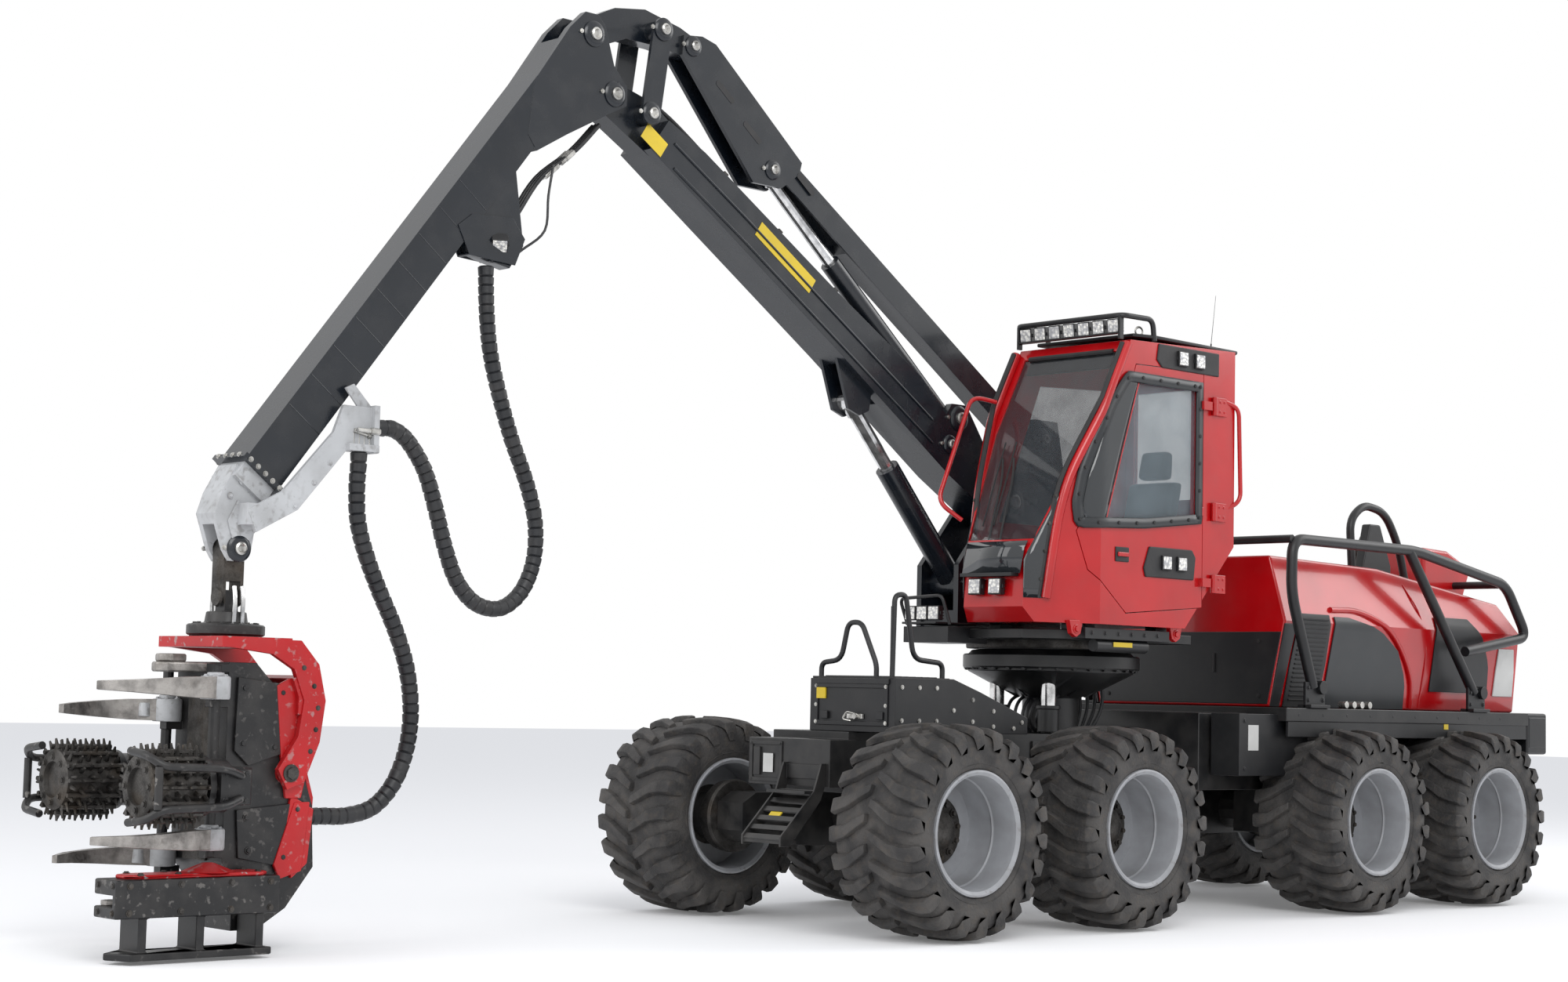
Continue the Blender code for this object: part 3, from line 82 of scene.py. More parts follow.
# ---------------------------------------------------------------- materials
class Shader:
    """A node material that grows by short calls."""

    def __init__(self, name):
        self.material = bpy.data.materials.new(name)
        self.material.use_nodes = True
        self.nodes = self.material.node_tree.nodes
        self.links = self.material.node_tree.links
        self.out = self.nodes["Principled BSDF"]
        self.coordinate = self.nodes.new("ShaderNodeTexCoord").outputs["Object"]

    def noise(self, scale, detail=4, distortion=0.0):
        node = self.nodes.new("ShaderNodeTexNoise")
        node.inputs["Scale"].default_value = scale
        node.inputs["Detail"].default_value = detail
        node.inputs["Distortion"].default_value = distortion
        self.links.new(self.coordinate, node.inputs["Vector"])
        return node.outputs["Fac"]

    def ramp(self, value, low, high, out_low=0.0, out_high=1.0):
        node = self.nodes.new("ShaderNodeMapRange")
        node.inputs["From Min"].default_value = low
        node.inputs["From Max"].default_value = high
        node.inputs["To Min"].default_value = out_low
        node.inputs["To Max"].default_value = out_high
        self.links.new(value, node.inputs["Value"])
        return node.outputs["Result"]

    def math(self, operation, first, second):
        node = self.nodes.new("ShaderNodeMath")
        node.operation = operation
        node.use_clamp = True
        for socket, value in zip(node.inputs, (first, second)):
            if isinstance(value, (int, float)):
                socket.default_value = value
            else:
                self.links.new(value, socket)
        return node.outputs[0]

    def mix(self, mask, first, second):
        node = self.nodes.new("ShaderNodeMix")
        node.data_type = "RGBA"
        self.links.new(mask, node.inputs["Factor"])
        for socket, colour in ((node.inputs[6], first), (node.inputs[7], second)):
            if isinstance(colour, tuple):
                socket.default_value = (*colour, 1)
            else:
                self.links.new(colour, socket)
        return node.outputs[2]

    def height(self):
        node = self.nodes.new("ShaderNodeSeparateXYZ")
        self.links.new(self.coordinate, node.inputs[0])
        return node.outputs["Z"]

    def edges(self, low=0.52, high=0.60):
        return self.ramp(self.nodes.new("ShaderNodeNewGeometry").outputs["Pointiness"], low, high)

    def bump(self, value, strength, distance):
        node = self.nodes.new("ShaderNodeBump")
        node.inputs["Strength"].default_value = strength
        node.inputs["Distance"].default_value = distance
        self.links.new(value, node.inputs["Height"])
        self.links.new(node.outputs["Normal"], self.out.inputs["Normal"])

    def link(self, value, socket):
        self.links.new(value, self.out.inputs[socket])

    def set(self, **values):
        for socket, value in values.items():
            self.out.inputs[socket.replace("_", " ")].default_value = value


DUST = (0.13, 0.12, 0.11)
MUD = (0.085, 0.068, 0.052)


def paint(name, colour, rough=0.3, dust=0.25, mud=0.0, worn=0.0, bare=(0.35, 0.34, 0.33), metallic=0.0,
          grain=0.12, coat=0.0):
    """Machine paint: cloudy dust, more of it low down, bare metal along the edges and a fine orange-peel."""
    made = Shader(name)
    shade = made.mix(made.ramp(made.noise(2.3, 3), 0.35, 0.7), colour, tuple(c * 0.82 for c in colour))
    dirt = made.math("MULTIPLY", made.ramp(made.noise(5.5, 8), 0.45, 0.75), dust)
    specks = made.math("MULTIPLY", made.ramp(made.noise(60, 2), 0.62, 0.75), dust * 0.25)
    dirt = made.math("ADD", dirt, specks)
    if mud:
        low = made.math("MULTIPLY", made.ramp(made.height(), 1.6, 0.3), mud)
        dirt = made.math("ADD", dirt, made.math("MULTIPLY", low, made.ramp(made.noise(9, 8), 0.3, 0.62)))
    shade = made.mix(dirt, shade, DUST)
    gloss = made.ramp(dirt, 0.0, 1.0, rough, 0.85)
    if worn:
        mask = made.math("MULTIPLY", made.edges(), made.ramp(made.noise(24, 6), 0.62 - 0.3 * worn, 0.66))
        scratch = made.math("MULTIPLY", made.ramp(made.noise(14, 9, 2.0), 0.72 - 0.16 * worn,
                                                  0.76 - 0.16 * worn), worn)
        mask = made.math("ADD", mask, scratch)
        shade = made.mix(mask, shade, bare)
    made.link(shade, "Base Color")
    made.link(gloss, "Roughness")
    made.set(Metallic=metallic)
    if coat:
        made.set(Coat_Weight=coat, Coat_Roughness=0.06)
    made.bump(made.noise(140, 3), grain, 0.002)
    return made.material


def metal(name, colour, rough, grain=0.25, scratches=0.4, dirt=0.3):
    made = Shader(name)
    shade = made.mix(made.ramp(made.noise(11, 8), 0.4, 0.66), colour, tuple(c * 0.45 for c in colour))
    shade = made.mix(made.math("MULTIPLY", made.ramp(made.noise(4, 9, 1.0), 0.5, 0.68), dirt), shade, MUD)
    made.link(shade, "Base Color")
    made.link(made.ramp(made.noise(30, 6, 3.0), 0.35, 0.7, rough, min(1, rough + scratches)), "Roughness")
    made.set(Metallic=0.9)
    made.bump(made.noise(70, 8), grain, 0.004)
    return made.material


def rubber(name, colour, rough, mud, grain, scale=60):
    made = Shader(name)
    shade = made.mix(made.ramp(made.noise(7, 6), 0.35, 0.7), colour, tuple(min(1, c * 1.5) for c in colour))
    shade = made.mix(made.math("MULTIPLY", made.ramp(made.noise(4.5, 10, 0.6), 0.40, 0.64), mud), shade, DUST)
    shade = made.mix(made.math("MULTIPLY", made.ramp(made.noise(18, 6), 0.52, 0.66), mud * 0.7), shade, MUD)
    made.link(shade, "Base Color")
    made.set(Roughness=rough)
    made.bump(made.noise(scale, 9), grain, 0.006)
    return made.material


def glass(name, colour, alpha):
    """Tinted pane: partly see-through, with a clear gloss."""
    made = Shader(name)
    made.link(made.mix(made.ramp(made.noise(2, 3), 0.4, 0.7), colour, tuple(c * 1.3 for c in colour)),
              "Base Color")
    made.link(made.ramp(made.noise(6, 5), 0.4, 0.7, alpha, alpha + 0.08), "Alpha")
    made.set(Roughness=0.04, Specular_IOR_Level=0.9)
    return made.material


def lamp_lens(name):
    made = Shader(name)
    cells = made.nodes.new("ShaderNodeTexVoronoi")
    cells.inputs["Scale"].default_value = 45
    made.links.new(made.coordinate, cells.inputs["Vector"])
    made.link(made.mix(made.ramp(cells.outputs["Distance"], 0.2, 0.7), (0.95, 0.93, 0.86),
                       (0.45, 0.45, 0.46)), "Base Color")
    made.set(Roughness=0.12, Metallic=0.2)
    made.bump(cells.outputs["Distance"], 0.6, 0.01)
    return made.material


def cloth(name, colour):
    made = Shader(name)
    made.link(made.mix(made.ramp(made.noise(220, 2), 0.4, 0.6), colour, tuple(c * 1.8 for c in colour)),
              "Base Color")
    made.set(Roughness=0.9, Sheen_Weight=0.3)
    made.bump(made.noise(320, 2), 0.5, 0.002)
    return made.material


MATERIALS = {
    "red": paint("red_paint", (0.50, 0.003, 0.006), 0.20, 0.05, coat=0.35, grain=0.04),
    "red_head": paint("head_red_paint", (0.48, 0.004, 0.007), 0.35, 0.10, worn=0.10, grain=0.1),
    "black": paint("black_paint", (0.006, 0.0065, 0.0075), 0.38, 0.12, mud=0.25),
    "satin": paint("satin_black", (0.007, 0.0075, 0.009), 0.42, 0.07, grain=0.2),
    "crane": paint("crane_paint", (0.006, 0.009, 0.014), 0.26, 0.07, coat=0.15, grain=0.08),
    "plate_grey": paint("window_border", (0.020, 0.023, 0.026), 0.35, 0.08),
    "rim": paint("rim_grey", (0.38, 0.39, 0.41), 0.38, 0.25, mud=0.15, worn=0.10, bare=(0.2, 0.19, 0.18)),
    "casting": paint("light_casting", (0.50, 0.51, 0.52), 0.45, 0.35, worn=0.35, bare=(0.18, 0.17, 0.16)),
    "head_black": paint("head_black", (0.006, 0.006, 0.007), 0.4, 0.22, worn=0.10, bare=(0.16, 0.15, 0.14),
                        grain=0.3),
    "steel": metal("worn_steel", (0.40, 0.38, 0.36), 0.30),
    "dark_steel": metal("dark_steel", (0.10, 0.095, 0.09), 0.45, dirt=0.6),
    "zinc": metal("zinc_fittings", (0.62, 0.61, 0.58), 0.25, 0.1, 0.2, 0.1),
    "chrome": metal("polished_rod", (0.80, 0.80, 0.80), 0.06, 0.02, 0.08, 0.03),
    "tyre": rubber("tyre_rubber", (0.022, 0.021, 0.021), 0.72, 0.42, 0.9),
    "hose": rubber("hose_wrap", (0.008, 0.009, 0.011), 0.45, 0.10, 0.2),
    "seal": rubber("window_seal", (0.012, 0.012, 0.013), 0.6, 0.05, 0.1),
    "screen": glass("windscreen_glass", (0.045, 0.05, 0.055), 0.42),
    "pane": glass("side_glass", (0.16, 0.21, 0.24), 0.30),
    "dark_pane": paint("dark_glass", (0.020, 0.024, 0.028), 0.05, 0.02, coat=0.5, grain=0.0),
    "lens": lamp_lens("lamp_lens"),
    "seat": cloth("seat_cloth", (0.018, 0.02, 0.022)),
    "yellow": paint("yellow_plate", (0.72, 0.52, 0.02), 0.4, 0.15),
    "white": paint("pale_plate", (0.62, 0.62, 0.60), 0.4, 0.15),
}


# ---------------------------------------------------------------- shapes
def frames_along(points):
    """A tangent and two steady cross directions at each point of a path."""
    tangents = []
    for i in range(len(points)):
        tangents.append((points[min(i + 1, len(points) - 1)] - points[max(i - 1, 0)]).normalized())
    side = tangents[0].orthogonal().normalized()
    result = []
    for tangent in tangents:
        side = (side - tangent * side.dot(tangent)).normalized()
        result.append((tangent, side, tangent.cross(side)))
    return result


def rounded(points, radius, steps=6):
    """The path with each inner corner replaced by an arc-like bend."""
    points = [Vector(p) for p in points]
    path = [points[0]]
    for before, corner, after in zip(points, points[1:], points[2:]):
        back, ahead = before - corner, after - corner
        reach = min(radius, 0.45 * back.length, 0.45 * ahead.length)
        start, end = corner + back.normalized() * reach, corner + ahead.normalized() * reach
        for step in range(steps + 1):
            t = step / steps
            path.append(start * (1 - t) ** 2 + corner * 2 * t * (1 - t) + end * t * t)
    path.append(points[-1])
    return path


def smooth(route, count=6):
    """Points on a curve through the route's own points."""
    points = [Vector(p) for p in route]
    ends = [points[0] * 2 - points[1]] + points + [points[-1] * 2 - points[-2]]
    path = []
    for p0, p1, p2, p3 in zip(ends, ends[1:], ends[2:], ends[3:]):
        for step in range(count):
            t = step / count
            path.append(0.5 * (2 * p1 + (p2 - p0) * t + (2 * p0 - 5 * p1 + 4 * p2 - p3) * t * t
                               + (3 * p1 - p0 - 3 * p2 + p3) * t ** 3))
    return path + [points[-1]]


class Shape:
    """A mesh that grows by primitives and becomes one piece."""

    def __init__(self):
        self.mesh = bmesh.new()

    def box(self, low, high, turn=None):
        low, high = Vector(low), Vector(high)
        size = high - low
        matrix = Matrix.Translation((low + high) / 2) @ (turn or Matrix.Identity(4)) @ Matrix.Diagonal((*size,
                1))
        bmesh.ops.create_cube(self.mesh, size=1, matrix=matrix)
        return self

    def rod(self, start, end, radius, end_radius=None, sides=20):
        start, end = Vector(start), Vector(end)
        turn = (end - start).to_track_quat("Z", "Y").to_matrix().to_4x4()
        bmesh.ops.create_cone(self.mesh, cap_ends=True, segments=sides, depth=(end - start).length,
                              radius1=radius,
                              radius2=radius if end_radius is None else end_radius,
                              matrix=Matrix.Translation((start + end) / 2) @ turn)
        return self

    def tube(self, points, radius, sides=12):
        points = [Vector(p) for p in points]
        radii = radius if isinstance(radius, list) else [radius] * len(points)
        rings = []
        for point, size, (_, side, up) in zip(points, radii, frames_along(points)):
            rings.append([self.mesh.verts.new(point + (side * cos(2 * pi * k / sides) + up * sin(2 * pi * k / sides)) * size)
                          for k in range(sides)])
        for first, second in zip(rings, rings[1:]):
            for k in range(sides):
                self.mesh.faces.new((first[k], first[(k + 1) % sides], second[(k + 1) % sides], second[k]))
        self.mesh.faces.new(rings[0][::-1])
        self.mesh.faces.new(rings[-1])
        return self

    def prism(self, outline, axis, low, high):
        """An outline in the two coordinates other than axis, from low to high along it."""
        order = {"X": lambda u, v, w: (w, u, v), "Y": lambda u, v, w: (u, w, v), "Z": lambda u, v,
                 w: (u, v, w)}[axis]
        first = [self.mesh.verts.new(order(u, v, low)) for u, v in outline]
        second = [self.mesh.verts.new(order(u, v, high)) for u, v in outline]
        faces = [self.mesh.faces.new(first), self.mesh.faces.new(second[::-1])]
        for i in range(len(outline)):
            j = (i + 1) % len(outline)
            faces.append(self.mesh.faces.new((first[j], first[i], second[i], second[j])))
        bmesh.ops.recalc_face_normals(self.mesh, faces=faces)
        return self

    def turned(self, profile, centre, axis, steps=48):
        """A closed profile of radius and height turned about an axis."""
        turn = Matrix.Translation(Vector(centre)) @ Vector(axis).to_track_quat("Z", "Y").to_matrix().to_4x4()
        rings = []
        for radius, height in profile:
            if radius < 1e-6:
                rings.append([self.mesh.verts.new(turn @ Vector((0, 0, height)))])
                continue
            rings.append([self.mesh.verts.new(turn @ Vector((radius * cos(2 * pi * k / steps),
                    radius * sin(2 * pi * k / steps),
                                                             height))) for k in range(steps)])
        faces = []
        closed = profile[0][0] > 1e-6
        pairs = list(zip(rings, rings[1:])) + ([(rings[-1], rings[0])] if closed else [])
        for first, second in pairs:
            for k in range(steps):
                m = (k + 1) % steps
                corners = [first[k % len(first)], first[m % len(first)], second[m % len(second)],
                           second[k % len(second)]]
                corners = [c for i, c in enumerate(corners) if c not in corners[:i]]
                faces.append(self.mesh.faces.new(corners))
        bmesh.ops.recalc_face_normals(self.mesh, faces=faces)
        return self

    def grid(self, rows):
        """A sheet through rows of points."""
        verts = [[self.mesh.verts.new(p) for p in row] for row in rows]
        for first, second in zip(verts, verts[1:]):
            for k in range(len(first) - 1):
                self.mesh.faces.new((first[k], first[k + 1], second[k + 1], second[k]))
        return self

    def bolts(self, places, axis, radius=0.012, height=0.008, washer=True):
        """Hexagon heads standing on a surface at each place."""
        axis = Vector(axis).normalized()
        for place in places:
            place = Vector(place)
            if washer:
                self.rod(place - axis * 0.004, place + axis * height * 0.35, radius * 1.45, sides=14)
            self.rod(place - axis * 0.004, place + axis * height, radius, sides=6)
        return self

    def made(self, name, finish, body, replaces=(), bevel=0.0, segments=2, thickness=0.0, sharp=35,
             shift=True):
        mesh = bpy.data.meshes.new(name)
        self.mesh.to_mesh(mesh)
        self.mesh.free()
        if shift:
            mesh.transform(Matrix.Translation(SHIFT))
        piece = bpy.data.objects.new(name, mesh)
        bpy.context.scene.collection.objects.link(piece)
        mesh.materials.append(MATERIALS[finish])
        mesh.shade_smooth()
        mesh.set_sharp_from_angle(angle=radians(sharp))
        if thickness:
            wall = piece.modifiers.new("wall", "SOLIDIFY")
            wall.thickness = thickness
            wall.offset = 0
        if bevel:
            soften(piece, bevel, segments)
        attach(piece, body)
        if replaces:
            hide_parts(*replaces)
        return piece


def soften(piece, width, segments=2):
    edge = piece.modifiers.new("edge", "BEVEL")
    edge.width = width
    edge.segments = segments
    edge.limit_method = "ANGLE"
    edge.angle_limit = radians(32)
    edge.harden_normals = True


def refined(node, finish, bevel, segments=2):
    """The CAD node's own shape with its edges rounded and its finish on; a knife thins towards its point."""
    shape = Shape()
    shape.mesh.from_mesh(frame["nodes"][node].data)
    bmesh.ops.remove_doubles(shape.mesh, verts=shape.mesh.verts, dist=0.00001)
    bmesh.ops.dissolve_limit(shape.mesh, angle_limit=radians(1), verts=shape.mesh.verts,
                             edges=shape.mesh.edges)
    if "knife" in node:
        low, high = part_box(node)
        middle = (low[2] + high[2]) / 2
        for vert in shape.mesh.verts:
            reach = max(0.0, (vert.co.x - low[0] - 0.20) / (high[0] - low[0] - 0.20))
            vert.co.z = middle + (vert.co.z - middle) * (1 - 0.62 * reach)
    return shape.made(f"{node}_finish", finish, NODE_BODY[node], (node,), bevel, segments, sharp=28,
                      shift=False)


NODE_BODY = {node: body for body, nodes in frame["record"]["behaviour"]["bodies"].items() for node in nodes}


def crane_point(x, z, offset=0.0):
    return (x, CRANE_Y + offset, z)


# ---------------------------------------------------------------- camera, floor and light
def make_camera():
    place = Vector((12.419, 11.999, 1.456)) + SHIFT
    yaw, pitch, roll = radians(-133.22), radians(4.61), radians(1.33)
    forward = Vector((cos(pitch) * cos(yaw), cos(pitch) * sin(yaw), sin(pitch)))
    right = forward.cross(Vector((0, 0, 1))).normalized()
    up = right.cross(forward)
    right, up = right * cos(roll) + up * sin(roll), up * cos(roll) - right * sin(roll)
    data = bpy.data.cameras.new("camera")
    data.lens, data.sensor_width = 58.89, 36
    data.clip_end = 200
    camera = bpy.data.objects.new("camera", data)
    camera.matrix_world = Matrix((
        (right.x, up.x, -forward.x, place.x), (right.y, up.y, -forward.y, place.y),
        (right.z, up.z, -forward.z, place.z), (0, 0, 0, 1)))
    bpy.context.scene.collection.objects.link(camera)
    bpy.context.scene.camera = camera


FLOOR_WHITENESS, FLOOR_GLOW, FLOOR_HALF = 0.95, 0.12, 70
SKY_COLOUR, SKY_STRENGTH = (0.93, 0.95, 1.0, 1), 0.70


def pale(name, strength):
    """A matte floor material that glows a little, so that its shadows stay soft."""
    material = bpy.data.materials.new(name)
    material.use_nodes = True
    shader = material.node_tree.nodes["Principled BSDF"]
    shader.inputs["Base Color"].default_value = (strength, strength, strength, 1)
    shader.inputs["Roughness"].default_value = 0.9
    shader.inputs["Specular IOR Level"].default_value = 0.0
    shader.inputs["Emission Color"].default_value = (1, 1, 1, 1)
    shader.inputs["Emission Strength"].default_value = FLOOR_GLOW
    return material


def make_stage():
    floor_mesh = bpy.data.meshes.new("floor")
    shape = bmesh.new()
    bmesh.ops.create_grid(shape, size=FLOOR_HALF, x_segments=1, y_segments=1)
    shape.to_mesh(floor_mesh)
    shape.free()
    floor_mesh.materials.append(pale("floor_pale", FLOOR_WHITENESS))
    floor_piece = bpy.data.objects.new("floor", floor_mesh)
    floor_piece.location.z = -0.001
    bpy.context.scene.collection.objects.link(floor_piece)
    floor_piece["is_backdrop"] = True
    for name, place, target, size, power in (
        ("key", (9, 13, 12), (0, 0, 1.5), 9, 1250), ("fill", (15, -2, 7), (0, 0, 2), 9, 500),
        ("rear", (-14, 6, 10), (-2, 0, 2), 9, 700),
    ):
        data = bpy.data.lights.new(name, "AREA")
        data.shape, data.size, data.energy = "SQUARE", size, power
        light = bpy.data.objects.new(name, data)
        light.location = place
        light.rotation_euler = (Vector(target) - Vector(place)).to_track_quat("-Z", "Y").to_euler()
        bpy.context.scene.collection.objects.link(light)
    world = bpy.data.worlds.new("studio")
    bpy.context.scene.world = world
    world.use_nodes = True
    nodes, links = world.node_tree.nodes, world.node_tree.links
    nodes["Background"].inputs["Color"].default_value = SKY_COLOUR
    nodes["Background"].inputs["Strength"].default_value = SKY_STRENGTH
    bright = nodes.new("ShaderNodeBackground")
    bright.inputs["Color"].default_value = (1, 1, 1, 1)
    bright.inputs["Strength"].default_value = 1.0
    path, join = nodes.new("ShaderNodeLightPath"), nodes.new("ShaderNodeMixShader")
    seen = path.outputs["Is Camera Ray"]
    for kind in ("Is Transmission Ray", "Is Glossy Ray"):
        either = nodes.new("ShaderNodeMath")
        either.operation = "MAXIMUM"
        links.new(seen, either.inputs[0])
        links.new(path.outputs[kind], either.inputs[1])
        seen = either.outputs[0]
    links.new(seen, join.inputs[0])
    links.new(nodes["Background"].outputs[0], join.inputs[1])
    links.new(bright.outputs[0], join.inputs[2])
    links.new(join.outputs[0], nodes["World Output"].inputs["Surface"])
    bpy.context.scene.view_settings.view_transform = "Standard"


# ---------------------------------------------------------------- hoses
HOSE_RADIUS = 0.05
HOSE_UPPER = [(3.26, 4.01), (3.25, 3.75), (3.22, 3.50), (3.15, 3.25), (3.05, 2.98), (2.93, 2.72),
              (2.86, 2.48), (2.87, 2.25),
              (2.96, 2.06), (3.12, 1.95), (3.31, 1.97), (3.46, 2.10), (3.56, 2.30), (3.64, 2.52),
              (3.73, 2.73), (3.86, 2.89),
              (3.97, 2.95), (4.04, 2.95), (4.0997, 2.95)]
HOSE_LOWER = [(4.20, 2.7993), (4.20, 2.72), (4.205, 2.60), (4.19, 2.40), (4.12, 2.20), (4.02, 2.00),
              (3.91, 1.80), (3.82, 1.58),
              (3.78, 1.34), (3.80, 1.12), (3.88, 0.92), (4.02, 0.78), (4.20, 0.735), (4.34, 0.735),
              (4.40, 0.735),
              (4.462, 0.735)]
UPPER_Y, LOWER_Y = CRANE_Y + 0.08, CRANE_Y + 0.20
WRAP_PITCH = 0.058


def wrapped_hose(name, route, body, node):
    """A hose bundle in a spiral sleeve, whose turns overlap like scales."""
    coarse = smooth(route, 3)
    path = []
    for first, second in zip(coarse, coarse[1:]):
        steps = max(2, int((second - first).length / 0.0075))
        path += [first.lerp(second, k / steps) for k in range(steps)]
    path.append(coarse[-1])
    travelled, radii = 0.0, []
    for i, point in enumerate(path):
        if i:
            travelled += (point - path[i - 1]).length
        t = (travelled / WRAP_PITCH) % 1
        radii.append(HOSE_RADIUS * (0.80 if t < 0.13 else 1 - 0.07 * t))
    hose = Shape().tube(path, radii, 20).made(name, "hose", body, (node,), sharp=25)


def make_hoses():
    count = len(HOSE_UPPER) - 3
    rise = LOWER_Y - UPPER_Y
    route = [(x, UPPER_Y + rise * min(1, i / count), z) for i, (x, z) in enumerate(HOSE_UPPER)]
    wrapped_hose("upper_hose_bundle", route, "outer_boom", "hose_upper")
    wrapped_hose("lower_hose_bundle", [(x, LOWER_Y, z) for x, z in HOSE_LOWER], "extension_boom",
                 "hose_lower")


# ---------------------------------------------------------------- wheels
LUGS = 22
LUG_STATIONS = (            # from the crown outwards: axial place, sweep in degrees, half width along the tread, radius
    (0.012, 0.0, 0.030, 0.662), (0.095, 3.6, 0.038, 0.662), (0.185, 8.0, 0.043, 0.658),
    (0.275, 9.8, 0.050, 0.649),
    (0.338, 10.4, 0.054, 0.628), (0.352, 10.6, 0.048, 0.586), (0.352, 10.7, 0.036, 0.545),
)
CARCASS = [(0.622, 0.0), (0.620, 0.12), (0.610, 0.24), (0.588, 0.312), (0.555, 0.336), (0.500, 0.343),
           (0.440, 0.338),
           (0.400, 0.322), (0.386, 0.310)]


def tyre_shape():
    shape = Shape()
    ring = CARCASS + [(0.386, -0.310)] + [(r, -a) for r, a in CARCASS[:0:-1]]
    shape.turned(ring, (0, 0, 0), (0, 1, 0), 72)
    for radius, place in ((0.475, 0.341), (0.425, 0.334)):
        for sign in (-1, 1):
            bead = [(radius + 0.006, sign * (place - 0.006)), (radius, sign * (place + 0.004)),
                    (radius - 0.006, sign * (place - 0.006))]
            shape.turned(bead, (0, 0, 0), (0, 1, 0), 72)
    draw = random.Random(4)
    for side in (-1, 1):
        for lug in range(LUGS):
            start = 2 * pi * (lug + (0.5 if side > 0 else 0)) / LUGS
            rings = []
            scuff = draw.uniform(-0.004, 0.0)
            for axial, sweep, half, radius in LUG_STATIONS:
                base = radius - 0.045
                angle = start + radians(sweep)
                points = []
                for r, wide in ((base, 1.12), (radius + scuff, 0.86)):
                    for direction in (-1, 1) if r == base else (1, -1):
                        turn = angle + direction * half * wide / WHEEL_RADIUS
                        points.append(shape.mesh.verts.new((r * sin(turn), side * axial, r * cos(turn))))
                rings.append(points)
            for first, second in zip(rings, rings[1:]):
                for k in range(4):
                    shape.mesh.faces.new((first[k], first[(k + 1) % 4], second[(k + 1) % 4], second[k]))
            shape.mesh.faces.new(rings[0])
            shape.mesh.faces.new(rings[-1])
    bmesh.ops.recalc_face_normals(shape.mesh, faces=shape.mesh.faces)
    return shape


def rim_shape():
    profile = [(0.372, 0.330), (0.384, 0.326), (0.386, 0.305), (0.372, 0.290), (0.368, 0.10), (0.368, -0.29),
               (0.386, -0.305),
               (0.384, -0.326), (0.372, -0.330), (0.352, -0.315), (0.345, -0.29), (0.340, -0.09),
               (0.20, -0.085), (0.20, -0.045),
               (0.325, -0.050), (0.336, -0.02), (0.340, 0.12), (0.332, 0.13), (0.340, 0.14), (0.345, 0.29),
               (0.352, 0.315)]
    return Shape().turned(profile, (0, 0, 0), (0, 1, 0), 72)


def hub_shape():
    hub = Shape().turned([(0.0, -0.085), (0.215, -0.085), (0.215, -0.030), (0.190, -0.022), (0.120, -0.022),
                          (0.115, 0.02),
                          (0.095, 0.04), (0.06, 0.05), (0.0, 0.052)], (0, 0, 0), (0, 1, 0), 40)
    places = [(0.168 * cos(2 * pi * k / 12), -0.022, 0.168 * sin(2 * pi * k / 12)) for k in range(12)]
    return hub.bolts(places, (0, 1, 0), 0.016, 0.03)


def make_wheels():
    meshes = {}
    for kind, shape, finish, bevel in (("tyre", tyre_shape(), "tyre", 0.006),
                                       ("rim", rim_shape(), "rim", 0.0),
                                       ("hub", hub_shape(), "dark_steel", 0.0)):
        mesh = bpy.data.meshes.new(kind)
        shape.mesh.to_mesh(mesh)
        shape.mesh.free()
        mesh.materials.append(MATERIALS[finish])
        mesh.shade_smooth()
        mesh.set_sharp_from_angle(angle=radians(32))
        meshes[kind] = (mesh, finish, bevel)
    for node in [n for n in frame["nodes"] if n.startswith("wheel_")]:
        low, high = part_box(node)
        centre = [(a + b) / 2 for a, b in zip(low, high)]
        side = 1 if centre[1] > 0 else -1
        for kind, (mesh, finish, bevel) in meshes.items():
            turned = mesh.copy()
            turned.transform(Matrix.Rotation(0 if side > 0 else pi, 4,
                                             "Z") @ Matrix.Rotation(23.0 * centre[0] + side, 4, "Y"))
            piece = bpy.data.objects.new(f"{kind}_{node[6:]}", turned)
            bpy.context.scene.collection.objects.link(piece)
            piece.location = (centre[0], side * TRACK_HALF, WHEEL_Z)
            if bevel:
                soften(piece, bevel, 1)
            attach(piece, node)
            if kind == "tyre":
                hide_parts(node)


# ---------------------------------------------------------------- the CAD nodes' own finish
REFINED = (                 # node, finish, width of its rounded edges
    ("front_frame", "black", 0.008), ("front_toolbox", "satin", 0.010), ("front_steps", "black", 0.004),
    ("slew_base", "black", 0.008), ("rear_frame", "black", 0.008), ("rear_bumper", "satin", 0.020),
    ("engine_block", "black", 0.01), ("exhaust_fin", "satin", 0.012), ("top_cover", "red", 0.03),
    ("turntable", "black", 0.006),
    ("front_bogie_axle", "black", 0.03), ("rear_bogie_axle", "black", 0.03),
    ("cab_shell", "red", 0.018), ("cab_door", "red", 0.008), ("crane_pillar", "crane", 0.008),
    ("main_boom", "crane", 0.014),
    ("lift_cylinder", "crane", 0.004), ("stick_cylinder", "crane", 0.004), ("rocker_link", "crane", 0.005),
    ("top_link", "crane", 0.010), ("pull_bar", "crane", 0.008), ("outer_boom", "crane", 0.012),
    ("extension_boom", "casting", 0.006), ("crane_link", "dark_steel", 0.008),
    ("rotator", "head_black", 0.006),
    ("head_bracket", "red_head", 0.006), ("head_frame", "head_black", 0.010),
    ("saw_box", "head_black", 0.010),
    ("saw_bar", "steel", 0.003), ("engine_hood", "red", 0.045),
    ("upper_knife_left", "steel", 0.012), ("upper_knife_right", "steel", 0.012),
    ("lower_knife_left", "steel", 0.012),
    ("lower_knife_right", "steel", 0.012), ("feed_arm_left", "head_black", 0.010),
    ("feed_arm_right", "head_black", 0.010),
)
